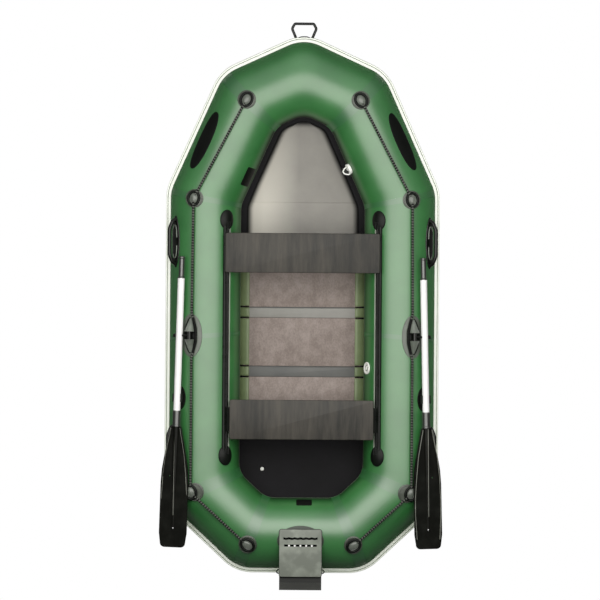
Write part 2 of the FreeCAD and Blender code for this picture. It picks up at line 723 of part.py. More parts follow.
spoolPlace = lockPlace * Placement(Vector(0, 0, size("spool_rise")), Rotation())
spoolHalf = "(spool_length / 2 - glue_gap)"
journalEnd = "(spool_length / 2 + journal_length)"
spoolProfile = [("0", "-" + journalEnd), ("journal_radius", "-" + journalEnd),
                ("journal_radius", "-" + spoolHalf), ("spool_radius", "-" + spoolHalf),
                ("spool_radius", spoolHalf), ("journal_radius", spoolHalf),
                ("journal_radius", journalEnd), ("0", journalEnd)]
spool = turned("spool", spoolProfile, spoolPlace)
outboard = Rotation(Vector(0, 1, 0), 90)
stud = primitive("Cylinder", "stud", spoolPlace * Placement(Vector(0, 0, 0), outboard),
                 Radius="stud_radius", Height="oar_reach + shaft_radius + nut_length")
nutStart = Vector(size("oar_reach") + size("shaft_radius") + size("glue_gap"), 0, 0)
nut = primitive("Cylinder", "nut", spoolPlace * Placement(nutStart, outboard),
                Radius="nut_radius", Height="nut_length")
both_sides("oarlock_pin", fused("oarlock_pin", [spool, stud, nut]))

# Oar: grip, shaft, socket and blade along one axis, stowed along the tube
oarPlace = spoolPlace * Placement(Vector(size("oar_reach"), 0, 0),
                                  Rotation(Vector(0, 0, 1), size("oar_splay")))
shaftProfile = [("shaft_radius - shaft_wall", "-socket_start_y"), ("shaft_radius", "-socket_start_y"),
                ("shaft_radius", "grip_start_y"), ("shaft_radius - shaft_wall", "grip_start_y")]
both_sides("oar_shaft", cut("oar_shaft", turned("shaft_tube", shaftProfile, oarPlace), stud))
gripProfile = [("0", "grip_start_y"), ("shaft_radius", "grip_start_y"),
               ("shaft_radius", "grip_start_y + 5"), ("grip_radius", "grip_start_y + 9"),
               ("grip_radius", "grip_end_y - 12"), ("grip_radius + 2", "grip_end_y - 8"),
               ("grip_radius + 2", "grip_end_y - 3"), ("grip_radius - 2", "grip_end_y"),
               ("0", "grip_end_y")]
both_sides("oar_grip", turned("oar_grip", gripProfile, oarPlace))
socketProfile = [("0", "-socket_start_y"), ("socket_radius - 1", "-socket_start_y"),
                 ("socket_radius", "-socket_start_y - 6"), ("socket_radius", "-socket_end_y + 9"),
                 ("socket_radius + 2", "-socket_end_y + 7"), ("socket_radius + 2", "-socket_end_y"),
                 ("0", "-socket_end_y")]
both_sides("oar_socket", turned("oar_socket", socketProfile, oarPlace))
bladeHalf = [("blade_width * 0.172", "-socket_end_y"),
             ("blade_width * 0.30", "-socket_end_y - blade_width * 0.55"),
             ("blade_width * 0.405", "-socket_end_y - blade_width * 1.04"),
             ("blade_width * 0.47", "-socket_end_y - blade_width * 1.44"),
             ("blade_width * 0.5", "-socket_end_y - blade_width * 1.9"),
             ("blade_width * 0.497", "-socket_end_y - blade_width * 2.9"),
             ("blade_width * 0.46", "-socket_end_y - (blade_end_y - socket_end_y) * 0.88"),
             ("blade_width * 0.36", "-blade_end_y")]
bladeOther = [("-" + across, down) for across, down in reversed(bladeHalf)]
bladePlate = padded("blade_plate", "XY_Plane", bladeHalf + bladeOther, "blade_thickness", oarPlace)
rounded(bladePlate, "blade_corner", lambda edge: along(Vector(0, 0, 1))(edge)
        and edge.CenterOfMass.y < 1 - size("blade_end_y"))
ribThick = "blade_thickness + 2 * blade_rib_rise"
edgeRibs = []
for name, side in (("inboard", "-"), ("outboard", "")):
    ribLine = [(side + "(blade_width * 0.17 - blade_rib_width)", "-socket_end_y"),
               (side + "(blade_width * 0.17)", "-socket_end_y"),
               (side + "(blade_width * 0.36)", "-socket_end_y - blade_width * 0.98"),
               (side + "(blade_width * 0.42)", "-socket_end_y - blade_width * 1.7"),
               (side + "(blade_width * 0.42 - blade_rib_width / 2)", "-socket_end_y - blade_width * 1.7"),
               (side + "(blade_width * 0.36 - blade_rib_width)", "-socket_end_y - blade_width * 0.98")]
    edgeRibs.append(padded("blade_rib_" + name, "XY_Plane", ribLine, ribThick, oarPlace))
spineStart = oarPlace * Placement(Vector(0, -size("socket_end_y"), 0), lengthwise)
spine = primitive("Cone", "blade_spine", spineStart, Radius1="shaft_radius", Radius2="blade_thickness",
                  Height="(blade_end_y - socket_end_y) * 0.86")
bladeWhole = fused("blade_whole", [bladePlate, spine] + edgeRibs)
bladeHoles = []
for share, offset in ((0.41, 0.18), (0.84, 0)):
    down = size("socket_end_y") + (size("blade_end_y") - size("socket_end_y")) * share
    spot = Vector(offset * size("blade_width"), -down, -2 * size("blade_thickness"))
    bladeHoles.append(primitive("Cylinder", "blade_hole_%d" % len(bladeHoles),
                                oarPlace * Placement(spot, Rotation()), Radius="blade_hole",
                                Height="4 * blade_thickness"))
both_sides("oar_blade", cut("oar_blade", bladeWhole, fused("blade_holes", bladeHoles)))

# Oar clip: an oval foot, and a cradle that is open upwards so that the shaft can leave
clipFoot = ovalPad("clip_foot", overside(size("clip_roll"), size("clip_y")), "clip_length",
                   "clip_width", "side")
clipBack = (size("clip_y") - size("lock_y")) / math.cos(math.radians(size("oar_splay")))
clipBore = size("shaft_radius") + size("clip_play")
clipHalf = clipBore + size("clip_wall")
jawLength = size("clip_jaw_length")
innerLip = size("clip_wall")
clipOver = size("clip_wall")
outerLip = 2.5 * size("clip_wall")
clipSink = radius / 4


def clipBox(name, low, high):
    span = high - low
    item = primitive("Box", name, oarPlace * Placement(low, Rotation()))
    item.Length, item.Width, item.Height = span.x, span.y, span.z
    return item


clipLow = clipBack - jawLength / 2
clipHigh = clipBack + jawLength / 2
jawBlock = clipBox("clip_jaw_block", Vector(-clipHalf, clipLow, -clipHalf),
                   Vector(clipHalf, clipHigh, outerLip))
jawStem = clipBox("clip_stem", Vector(-clipBore, clipLow, -clipHalf - clipSink),
                  Vector(clipBore / 2, clipHigh, -clipBore))
jawBore = primitive("Cylinder", "clip_bore",
                    oarPlace * Placement(Vector(0, clipHigh + clipOver, 0), lengthwise),
                    Radius="shaft_radius + clip_play", Height="clip_jaw_length + 2 * clip_wall")
jawMouth = clipBox("clip_mouth", Vector(-clipBore, clipLow - clipOver, 0),
                   Vector(clipBore, clipHigh + clipOver, 2 * clipHalf))
jawTrim = clipBox("clip_trim", Vector(-2 * clipHalf, clipLow - clipOver, innerLip),
                  Vector(0, clipHigh + clipOver, 2 * clipHalf))
jawTools = fused("clip_tools", [jawBore, jawMouth, jawTrim, stretch("side")])
jaw = cut("clip_jaw", fused("clip_solid", [jawBlock, jawStem]), jawTools)
both_sides("oar_clip", fused("oar_clip", [clipFoot, jaw]))


# Bent round bars: straight runs joined by tangent arcs
def bentPath(points, bends):
    """A wire through points, with each inner corner rounded to the radius given for it."""
    edges = []
    start = points[0]
    for corner, following, bend in zip(points[1:-1], points[2:], bends):
        came = (corner - start).normalize()
        goes = (following - corner).normalize()
        half = came.getAngle(goes) / 2
        back = bend * math.tan(half)
        first = corner - came * back
        last = corner + goes * back
        inward = (goes - came).normalize()
        middle = corner + inward * (bend / math.cos(half) - bend)
        edges.append(Part.LineSegment(start, first).toShape())
        edges.append(Part.Arc(first, middle, last).toShape())
        start = last
    edges.append(Part.LineSegment(start, points[-1]).toShape())
    return Part.Wire(edges)


def roundBar(points, bends, barRadius):
    path = bentPath(points, bends)
    ahead = points[1] - points[0]
    section = Part.Wire(Part.makeCircle(barRadius, points[0], ahead))
    return path.makePipeShell([section], True, True)


# Side grab handles: an oval foot that follows the tube, and a bar held off it by two legs
handles = []
for name, y in (("fore", size("handle_fore_y")), ("aft", size("handle_aft_y"))):
    place = overside(size("handle_roll"), y)
    foot = ovalPad("handle_foot_" + name, place, "handle_length", "handle_width", "side")
    half = size("handle_grip") / 2
    sink = size("foot_thickness") / 2
    rise = size("handle_rise")
    legFoot = half + rise / 2
    line = [Vector(0, -legFoot, sink), Vector(0, -half, rise), Vector(0, half, rise),
            Vector(0, legFoot, sink)]
    bar = roundBar(line, [rise / 2, rise / 2], size("handle_radius"))
    whole = fused("handle_whole_" + name, [foot, feature("handle_bar_" + name, bar, place)])
    handles.append(cut("handle_" + name, whole, stretch("side")))
handlePair = doc.addObject("Part::Compound", "handle_pair")
handlePair.Links = handles
both_sides("grab_handles", handlePair)

# Bow handle: a foot on the nose and a bent loop that stands out over the strake
noseLean = math.radians(size("bow_handle_roll"))
noseNormal = Vector(0, math.sin(noseLean), math.cos(noseLean))
noseAhead = Vector(1, 0, 0)
noseRight = noseAhead.cross(noseNormal)
nosePoint = flat["nose"] + noseNormal * radius
nosePlace = bowLift * Placement(nosePoint, Rotation(noseRight, noseAhead, noseNormal, "ZXY"))
noseFoot = ovalPad("bow_handle_foot", nosePlace, "bow_handle_foot_length", "bow_handle_foot_width",
                   "nose_corner")
loopRise = nosePoint.z + size("bow_handle_bar")
loopStart = nosePoint.y - size("bow_handle_bar")
loopEnd = nosePoint.y + size("bow_handle_reach")
loopHalf = size("bow_handle_width") / 2
loopLine = [Vector(-loopHalf * 0.45, loopStart, loopRise), Vector(-loopHalf, loopEnd - loopHalf * 0.4, loopRise),
            Vector(-loopHalf * 0.78, loopEnd, loopRise), Vector(loopHalf * 0.78, loopEnd, loopRise),
            Vector(loopHalf, loopEnd - loopHalf * 0.4, loopRise), Vector(loopHalf * 0.45, loopStart, loopRise)]
loopBends = [loopHalf * 0.25, loopHalf * 0.15, loopHalf * 0.15, loopHalf * 0.25]
loop = roundBar(loopLine, loopBends, size("bow_handle_bar"))
loop = feature("bow_handle_loop", loop, bowLift)
node("bow_handle", fused("bow_handle", [noseFoot, cut("bow_handle_bar_cut", loop, stretch("nose_corner"))]))

# Rope eyes and lifelines: the rope is taut from eye to eye and bends round the oarlock's cones
eyeSpots = [(size("cheek_x") + size("cheek_eye_out"), size("cheek_y") + size("cheek_eye_ahead")),
            (size("half_beam") + size("shoulder_eye_out"), size("shoulder_y") + size("shoulder_eye_ahead")),
            (size("half_beam") + size("quarter_eye_out"), size("quarter_y") - size("quarter_eye_astern")),
            (size("tail_x") + size("tail_eye_out"), size("tail_y") - size("tail_eye_astern"))]
pastLock = size("lock_base_length") / 2 + size("rope_radius")
pastSpool = size("spool_length") / 2 + size("journal_length")
besideCone = -(size("cone_wide") + size("rope_radius") / 2)
lockDetour = [(-size("rope_radius"), pastLock), (besideCone, pastSpool),
              (besideCone, -pastSpool), (-size("rope_radius"), -pastLock)]
ropeRise = size("rope_rise")
ringShifts = [0, 0, size("quarter_ring_out"), 0]
eyePoints = [onTube(x, y).multVec(Vector(shift, 0, ropeRise))
             for (x, y), shift in zip(eyeSpots, ringShifts)]
lockPoints = [lockPlace.multVec(Vector(u, v, ropeRise)) for u, v in lockDetour]
ropeLine = eyePoints[:2] + lockPoints + eyePoints[2:]
ropeBends = [size("rope_bend")] * (len(ropeLine) - 2)
rope = feature("lifeline", roundBar(ropeLine, ropeBends, size("rope_radius")))
ropeRoom = feature("lifeline_room", roundBar(ropeLine, ropeBends, size("rope_radius")
                                             + size("rope_clearance")))
eyes = []
eyeSeats = ["cheek_corner", "shoulder_corner", "quarter_corner", "tail_corner"]
for index, (x, y) in enumerate(eyeSpots):
    heading = [ropeLine[1] - ropeLine[0], ropeLine[2] - ropeLine[0], ropeLine[-1] - ropeLine[-3],
               ropeLine[-1] - ropeLine[-2]][index].normalize()
    place = onTube(x, y, heading)
    foot = ovalPad("eye_foot_%d" % index, place, "2 * eye_radius",
                   "2 * eye_radius - 0.01", eyeSeats[index])
    bossHalf = [("0", "0"), ("eye_boss_radius", "0"), ("eye_boss_radius", "eye_boss_height - boss_chamfer"),
                ("eye_boss_radius - boss_chamfer", "eye_boss_height"), ("0", "eye_boss_height")]
    bossPlace = onTube(x, y) * Placement(Vector(ringShifts[index], 0, 0), lengthwise)
    boss = turned("eye_boss_%d" % index, bossHalf, bossPlace)
    whole = fused("eye_whole_%d" % index, [foot, boss])
    room = fused("eye_room_%d" % index, [ropeRoom, stretch(eyeSeats[index])])
    eyes.append(cut("eye_%d" % index, whole, room))
eyeSet = doc.addObject("Part::Compound", "eye_set")
eyeSet.Links = eyes
both_sides("rope_eyes", eyeSet)
both_sides("lifeline", rope)

# Black oval patches on the bow panels
patchHeading = (flat["cheek"] - flat["shoulder"]).normalize()
patchMiddle = (flat["cheek"] + flat["shoulder"]) / 2
patchSide = Vector(patchHeading.y, -patchHeading.x, 0) * (radius * math.sin(math.radians(48)))
patchSpot = patchMiddle + patchSide + patchHeading * size("patch_shift")
patchPlace = onTube(patchSpot.x, patchSpot.y, patchHeading)
both_sides("bow_patch", ovalPad("bow_patch", patchPlace, "patch_length", "patch_width",
                                 "bow", "patch_thickness"))

# Inflation valves on the starboard tube's inner side, one for each air chamber
valveProfile = [("0", "-valve_height / 2"), ("valve_radius", "-valve_height / 2"),
                ("valve_radius", "valve_height * 0.4"), ("valve_radius - 4", "valve_height * 0.6"),
                ("valve_radius * 0.7", "valve_height * 0.6"), ("valve_radius * 0.62", "valve_height"),
                ("0", "valve_height")]
valves = []
bowHeading = (flat["cheek"] - flat["shoulder"]).normalize()
bowInward = Vector(-bowHeading.y, bowHeading.x, 0)
bowValve = (flat["shoulder"] + bowHeading * size("bow_valve_along")
            + bowInward * (radius - size("bow_valve_inset")))
sternValve = Vector(size("half_beam") - radius + size("stern_valve_inset"), size("stern_valve_y"), 0)
for name, spot, seat in (("bow", bowValve, "bow"), ("stern", sternValve, "side")):
    place = onTube(spot.x, spot.y) * Placement(Vector(0, 0, 0), lengthwise)
    valves.append(cut("valve_" + name, turned("valve_body_" + name, valveProfile, place),
                      stretch(seat)))
valveSet = doc.addObject("Part::Compound", "valve_set")
valveSet.Links = valves
node("valves", valveSet)

# Motor mount: a patch over the stern tube, a bent plate on it, a board behind and two feet
patchLean = math.radians(size("stern_patch_roll"))
sternNormal = Vector(0, -math.sin(patchLean), math.cos(patchLean))
across = Vector(1, 0, 0)
sternPoint = Vector(0, size("tail_y"), axisRise) + sternNormal * radius
sternPlace = Placement(sternPoint, Rotation(across.cross(sternNormal), across, sternNormal, "ZXY"))
node("stern_patch", ovalPad("stern_patch", sternPlace, "stern_patch_width", "stern_patch_height",
                            "stern"))
plateRise = "(2 * tube_radius + foot_thickness + glue_gap)"
boardFront = "(tail_y - tube_radius - strake_proud - board_gap)"
boardFrontY = size("tail_y") - radius - size("strake_proud") - size("board_gap")
plateProfile = [("plate_front_y", plateRise), (boardFront + " + plate_thickness", plateRise),
                (boardFront + " + plate_thickness", plateRise + " - flange_depth"),
                (boardFront, plateRise + " - flange_depth"),
                (boardFront, plateRise + " + plate_thickness"),
                ("plate_front_y", plateRise + " + plate_thickness")]
motorPlate = padded("motor_plate_blank", "YZ_Plane", plateProfile, "plate_width")
rounded(motorPlate, "plate_corner", lambda edge: along(Vector(0, 0, 1))(edge)
        and abs(edge.CenterOfMass.y - size("plate_front_y")) < 1)
plateTop = value_of(motorPlate, plateRise + " + plate_thickness")
rounded(motorPlate, "plate_bend", lambda edge: along(Vector(1, 0, 0))(edge)
        and abs(edge.CenterOfMass.z - plateTop) < 1 and edge.CenterOfMass.y < boardFrontY + 1)
slots = []
for row in (0, 1):
    for column in range(-5, 6, 2):
        slots.append(plate("plate_slot_%d_%d" % (row, column + 5), "plate_slot_length",
                           "plate_slot_width", "3 * plate_thickness", "plate_slot_pitch * %d / 2" % column,
                           "plate_front_y - plate_slot_inset - plate_slot_rows * %d" % row,
                           plateRise + " - plate_thickness"))
node("motor_plate", cut("motor_plate", motorPlate, fused("plate_slots", slots)))
boardHalf = "plate_width / 2"
boardFoot = "-board_height / 2"
boardLayers = []
for name, top, thickness, middle in (
        ("inner", "board_height / 2 - board_step", "board_layer", boardFront + " - board_layer / 2"),
        ("outer", "board_height / 2", "board_thickness",
         boardFront + " - board_layer - board_thickness / 2")):
    boardPoints = [("-" + boardHalf, boardFoot), (boardHalf, boardFoot), (boardHalf, top),
                   ("-" + boardHalf, top)]
    layer = padded("board_" + name, "XZ_Plane", boardPoints, thickness)
    rounded(layer, "board_corner", lambda edge: along(Vector(0, 1, 0))(edge)
            and edge.CenterOfMass.z < 0)
    boardLayers.append(bind(layer, Placement__Base__y=middle,
                            Placement__Base__z=plateRise + " + plate_thickness - board_height / 2"))
node("motor_board", fused("motor_board", boardLayers))
feet = []
for side in (-1, 1):
    start = Vector(side * size("plate_width") * 0.3, boardFrontY, 2 * radius - size("motor_foot_drop"))
    bar = primitive("Cylinder", "motor_foot_%d" % (side + 1),
                    Placement(start, Rotation(Vector(1, 0, 0), -90)), Radius="motor_foot_radius",
                    Height="motor_foot_length")
    feet.append(cut("motor_foot_cut_%d" % (side + 1), bar, stretch("stern")))
feetSet = doc.addObject("Part::Compound", "feet_set")
feetSet.Links = feet
node("motor_feet", feetSet)

doc.recompute()
for item in doc.Objects:
    if {"Invalid", "Error"} & set(item.State):
        raise SystemExit("%s failed: %s" % (item.Name, item.State))
for label, item in nodes.items():
    if item.Shape.isNull() or not item.Shape.isValid():
        raise SystemExit("%s has no valid shape" % label)
for label, item in nodes.items():
    item.Shape.exportStep("parts/%s.step" % label)
print(len(nodes), "nodes written")
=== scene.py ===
import json
import math

import bpy
import numpy as np
from mathutils import Matrix, Vector
from mathutils.bvhtree import BVHTree


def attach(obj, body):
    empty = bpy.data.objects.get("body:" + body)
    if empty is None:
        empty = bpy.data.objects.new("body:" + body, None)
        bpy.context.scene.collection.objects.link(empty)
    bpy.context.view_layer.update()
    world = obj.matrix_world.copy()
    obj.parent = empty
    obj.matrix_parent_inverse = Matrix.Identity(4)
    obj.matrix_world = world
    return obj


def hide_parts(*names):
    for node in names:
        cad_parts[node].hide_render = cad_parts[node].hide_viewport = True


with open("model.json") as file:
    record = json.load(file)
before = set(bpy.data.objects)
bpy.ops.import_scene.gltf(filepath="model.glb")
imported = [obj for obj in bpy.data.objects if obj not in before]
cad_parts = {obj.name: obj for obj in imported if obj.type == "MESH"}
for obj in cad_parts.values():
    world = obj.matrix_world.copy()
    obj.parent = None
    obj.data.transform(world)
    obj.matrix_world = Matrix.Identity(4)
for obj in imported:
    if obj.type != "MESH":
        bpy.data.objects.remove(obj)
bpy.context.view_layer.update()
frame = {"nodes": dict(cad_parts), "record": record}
nodes = frame["nodes"]
mm = 0.001
sides = {"starboard": 1, "port": -1}
print("frame loaded:", len(nodes), "nodes")


# camera: straight above, turned a little as the boat lies in the picture
camera = {"height": 60.0, "x": -0.011, "y": 0.028, "turn": 0.43, "widthAtDeck": 2.91, "deck": 0.17,
          "farClip": 100}
lens = bpy.data.cameras.new("studioCamera")
lens.angle = 2 * math.atan(camera["widthAtDeck"] / 2 / (camera["height"] - camera["deck"]))
lens.clip_end = camera["farClip"]
eye = bpy.data.objects.new("studioCamera", lens)
eye.location = (camera["x"], camera["y"], camera["height"])
eye.rotation_euler = (0, 0, math.radians(camera["turn"]))
bpy.context.scene.collection.objects.link(eye)
bpy.context.scene.camera = eye
bpy.context.scene.view_settings.view_transform = "Standard"


# colours and nodes
def linear(text):
    values = [int(text[i:i + 2], 16) / 255 for i in (1, 3, 5)]
    return [v / 12.92 if v <= 0.04045 else ((v + 0.055) / 1.055) ** 2.4 for v in values] + [1.0]


def addNode(tree, kind, settings=None, to=None, **inputs):
    # an input goes by its socket's name, or by i and its number; a node given as a value stands
    # for its first output in use; to names the socket of the shader that the new node feeds
    node = tree.nodes.new("ShaderNode" + kind)
    for key, value in (settings or {}).items():
        setattr(node, key, value)
    for key, value in inputs.items():
        socket = node.inputs[int(key[1:]) if key[1:].isdigit() else key.replace("_", " ")]
        if isinstance(value, bpy.types.Node):
            value = next(output for output in value.outputs if output.enabled)
        if isinstance(value, bpy.types.NodeSocket):
            tree.links.new(value, socket)
        else:
            socket.default_value = value
    if to:
        result = next(output for output in node.outputs if output.enabled)
        tree.links.new(result, tree.nodes["Principled BSDF"].inputs[to])
    return node


materials = {}


def newMaterial(name, colour, roughness, **sockets):
    materials[name] = bpy.data.materials.new(name)
    materials[name].use_nodes = True
    tree = materials[name].node_tree
    shader = tree.nodes["Principled BSDF"]
    shader.inputs["Base Color"].default_value = linear(colour)
    shader.inputs["Roughness"].default_value = roughness
    for key, value in sockets.items():
        shader.inputs[key.replace("_", " ")].default_value = value
    return tree


def objectSpace(tree, stretch=(1, 1, 1)):
    place = addNode(tree, "TexCoord").outputs["Object"]
    return addNode(tree, "Mapping", Vector=place, Scale=stretch)


def perMetre(millimetres):
    return 1000 / millimetres


def weaveAt(tree, space, pitch):
    # two crossed waves, one thread spacing apart: a wave at scale 1 repeats every 0.314
    warp, weft = [addNode(tree, "TexWave", {"bands_direction": axis}, Vector=space,
                          Scale=perMetre(pitch) * 0.314).outputs[1] for axis in "XY"]
    return addNode(tree, "Math", {"operation": "MULTIPLY"}, i0=warp, i1=weft)


def paintedMarks(tree, name):
    # the red and the green of colours painted on the mesh
    painted = addNode(tree, "Attribute", {"attribute_name": name})
    return addNode(tree, "SeparateColor", i0=painted).outputs[:2]


# pattern sizes and reliefs in mm
fabric = {"cloudSize": 160, "grainSize": 9, "relief": 0.10}
moulding = {"gritSize": 1.6, "cloudSize": 60, "relief": 0.05}
ply = {"roughness": 0.55, "relief": 0.25}


def pvcFabric(name, edge, middle, gloss=0.5, coat=0.0, ior=1.45, pitch=3.0):
    # PVC-coated polyester: smooth calendered film, threads faintly felt through it, broad soft gloss
    tree = newMaterial(name, middle, gloss, IOR=ior, Coat_Weight=coat, Coat_IOR=1.9,
                       Coat_Roughness=0.36)
    space = objectSpace(tree)
    cloud = addNode(tree, "TexNoise", Vector=space, Scale=perMetre(fabric["cloudSize"]), Detail=4)
    share = addNode(tree, "MapRange", i0=cloud, i1=0.35, i2=0.65)
    addNode(tree, "Mix", {"data_type": "RGBA"}, "Base Color", i0=share, i6=linear(edge),
            i7=linear(middle))
    grain = addNode(tree, "TexNoise", Vector=space, Scale=perMetre(fabric["grainSize"]),
                    Detail=5, Roughness=0.6)
    weave = weaveAt(tree, space, pitch)  # real threads lie 0.6 mm apart, drawn coarser to show
    felt = addNode(tree, "Mix", {"data_type": "FLOAT"}, i0=0.35, i2=grain, i3=weave)
    addNode(tree, "Bump", to="Normal", Height=felt, Distance=fabric["relief"] * mm, Strength=0.5)
    addNode(tree, "MapRange", to="Roughness", i0=grain, i3=gloss - 0.05, i4=gloss + 0.06)


def mouldedPlastic(name, colour, roughness, shine=1.5):
    # injection moulded: fine spark-eroded grain, a little paler where it is rubbed
    tree = newMaterial(name, colour, roughness, IOR=shine)
    space = objectSpace(tree)
    grain = addNode(tree, "TexNoise", Vector=space, Scale=perMetre(moulding["gritSize"]), Detail=2)
    cloud = addNode(tree, "TexNoise", Vector=space, Scale=perMetre(moulding["cloudSize"]), Detail=3)
    paler = [min(1, v * 1.7 + 0.004) for v in linear(colour)[:3]] + [1]
    wearAndSheen = addNode(tree, "MapRange", i0=cloud, i1=0.45, i2=0.8)
    addNode(tree, "Mix", {"data_type": "RGBA"}, "Base Color", i0=wearAndSheen, i6=linear(colour), i7=paler)
    addNode(tree, "Bump", to="Normal", Height=grain, Distance=moulding["relief"] * mm, Strength=0.6)
    addNode(tree, "MapRange", to="Roughness", i0=cloud, i3=roughness - 0.06, i4=roughness + 0.08)


def boardPly(name, dark, pale, stretch, streak):
    # film-stained plywood: long narrow streaks along the grain, pores pressed into the face
    tree = newMaterial(name, dark, ply["roughness"], IOR=1.5)
    space = objectSpace(tree, stretch)
    streaks = addNode(tree, "TexNoise", Vector=space, Scale=perMetre(streak), Detail=6,
                      Roughness=0.65)
    broad = addNode(tree, "TexNoise", Vector=space, Scale=perMetre(streak * 6), Detail=2,
                    Roughness=0.4)
    both = addNode(tree, "Mix", {"data_type": "FLOAT"}, i0=0.45, i2=streaks, i3=broad)
    share = addNode(tree, "MapRange", i0=both, i1=0.40, i2=0.62)
    addNode(tree, "Mix", {"data_type": "RGBA"}, "Base Color", i0=share, i6=linear(dark),
            i7=linear(pale))
    addNode(tree, "Bump", to="Normal", Height=streaks, Distance=ply["relief"] * mm, Strength=0.5)
    addNode(tree, "MapRange", to="Roughness", i0=streaks, i3=ply["roughness"] - 0.08,
            i4=ply["roughness"] + 0.1)


pvcFabric("greenHullPvc", "#2b6e34", "#33783b", 0.39, 1.0, 1.33)
pvcFabric("greenTapePvc", "#276636", "#2e6e38", 0.39, 1.0, 1.5)
pvcFabric("greenPipingPvc", "#4a5f47", "#586c52", ior=1.5)
pvcFabric("paleGreenPocketPvc", "#6a7a53", "#7d8d63", coat=0.2)
pvcFabric("blackFloorPvc", "#050408", "#0d0b11", ior=1.25)
pvcFabric("blackPatchPvc", "#080a08", "#0f110f", 0.45, ior=1.3)
pvcFabric("greyPatchPvc", "#3b423a", "#444b42", 0.45)
# painted light: a lit and a shaded copy of one grey floor fabric, for the two strips
pvcFabric("litStripPvc", "#8b8a85", "#9b9995", pitch=4.0)
pvcFabric("shadedStripPvc", "#5c5d5c", "#686866", pitch=4.0)
pvcFabric("paleFlangePvc", "#9aa295", "#b2b9ad")
mouldedPlastic("blackNylon", "#0b0d0a", 0.22, 1.45)
mouldedPlastic("darkDiscNylon", "#4f554c", 0.26, 1.6)
mouldedPlastic("greyDomeNylon", "#5d635b", 0.28, 1.7)
mouldedPlastic("matBlackNylon", "#0c0f0c", 0.42, 1.3)
mouldedPlastic("paleHighlightNylon", "#676d65", 0.24, 1.7)
mouldedPlastic("crestHighlightNylon", "#6c6e66", 0.30, 1.6)
mouldedPlastic("blackBladeNylon", "#0e0f0b", 0.34, 1.24)
mouldedPlastic("blackRailPvc", "#111411", 0.28, 1.28)
mouldedPlastic("greyLockPvc", "#555c53", 0.30, 1.6)
mouldedPlastic("greyGripPolypropylene", "#1d1f1c", 0.30, 2.1)
mouldedPlastic("whiteValveAbs", "#f7f9f2", 0.28)
mouldedPlastic("whitePowderCoat", "#fafafa", 0.30)
mouldedPlastic("greyPaintedSteel", "#7b8077", 0.46, 1.45)
mouldedPlastic("darkStrakeLine", "#3d453c", 0.6)
mouldedPlastic("darkSlotShade", "#020202", 0.8, 1.1)
mouldedPlastic("offWhiteStrakeRubber", "#f9fbf5", 0.38, 1.7)
# painted light: the strake's rubber is given a faint glow so that it shows whiter
rubber = materials["offWhiteStrakeRubber"].node_tree.nodes["Principled BSDF"]
rubber.inputs["Emission Color"].default_value = linear("#d6ebc4")  # painted light: a faint pale green glow, though the rubber is no lamp
rubber.inputs["Emission Strength"].default_value = 0.14
boardPly("stainedSeatPly", "#201f1b", "#48443d", (1, 0.12, 1), 30)
boardPly("pinkFilmSlatPly", "#7f726c", "#998c86", (1, 0.7, 1), 7)
boardPly("greyPaintedPly", "#20221e", "#2f312c", (0.3, 1, 1), 10)
boardPly("shadedPaintedPly", "#0f110e", "#171915", (0.3, 1, 1), 10)

# braided polyester: black cover, pale tracer strands where the mesh's colours say so
tree = newMaterial("braidedBlackRope", "#10120f", 0.7, IOR=1.3)
flecks = addNode(tree, "Attribute", {"attribute_name": "fleck"})
addNode(tree, "Mix", {"data_type": "RGBA"}, "Base Color", i0=flecks.outputs[2],
        i6=linear("#070907"), i7=linear("#a9ada4"))
fuzz = addNode(tree, "TexNoise", Vector=objectSpace(tree), Scale=perMetre(1.5), Detail=2)
addNode(tree, "Bump", to="Normal", Height=fuzz, Distance=0.2 * mm, Strength=0.6)

# where the tube turns under it is matt, and on the inner side it gets painted shade: the mesh's colours
# say where
for name in ("greenHullPvc", "greenTapePvc"):
    tree = materials[name].node_tree
    shader = tree.nodes["Principled BSDF"]
    steep, inner = paintedMarks(tree, "turned")
    # painted shade: the inner wall is mixed towards a dark green
    addNode(tree, "Mix", {"data_type": "RGBA"}, "Base Color", i0=inner,
            i6=shader.inputs["Base Color"].links[0].from_socket, i7=linear("#12260f"))
    addNode(tree, "Mix", {"data_type": "FLOAT"}, "Coat Weight", i0=steep, i2=1.0, i3=0.06)
    addNode(tree, "Mix", {"data_type": "FLOAT"}, "Roughness", i0=steep,
            i2=shader.inputs["Roughness"].links[0].from_socket, i3=0.7)

# crowned floor panel: the mesh's colours say where painted shade darkens its edge and where a painted
# sheen makes it paler
tree = newMaterial("crownedFloorPvc", "#93918c", 0.5, IOR=1.45)
edgeShade, wearAndSheen = paintedMarks(tree, "shade")
cloud = addNode(tree, "TexNoise", Vector=objectSpace(tree), Scale=perMetre(90), Detail=4)
share = addNode(tree, "MapRange", i0=cloud, i1=0.3, i2=0.7)
cloth = addNode(tree, "Mix", {"data_type": "RGBA"}, i0=share, i6=linear("#8b8883"),
                i7=linear("#94918b"))
# painted sheen: paler towards port
paler = addNode(tree, "Mix", {"data_type": "RGBA"}, i0=wearAndSheen, i6=cloth, i7=linear("#d0ccc2"))
addNode(tree, "Mix", {"data_type": "RGBA"}, "Base Color", i0=edgeShade, i6=linear("#141316"), i7=paler)
addNode(tree, "Bump", to="Normal", Height=weaveAt(tree, objectSpace(tree), 4.0),
        Distance=0.08 * mm, Strength=0.5)
print("materials made:", len(materials))

slotMaterials = {
    "hull_fabric": "greenHullPvc", "pocket_fabric": "paleGreenPocketPvc",
    "strake_rubber": "offWhiteStrakeRubber", "floor_fabric": "shadedStripPvc",
    "slat_board": "pinkFilmSlatPly", "seat_board": "stainedSeatPly", "rail_plastic": "blackRailPvc",
    "fitting_plastic": "blackNylon", "oar_aluminium": "whitePowderCoat",
    "grip_plastic": "greyGripPolypropylene", "blade_plastic": "blackBladeNylon", "rope": "blackPatchPvc",
    "patch_fabric": "blackPatchPvc", "valve_plastic": "whiteValveAbs",
    "mount_plate": "greyPaintedSteel", "mount_board": "greyPaintedPly",
}
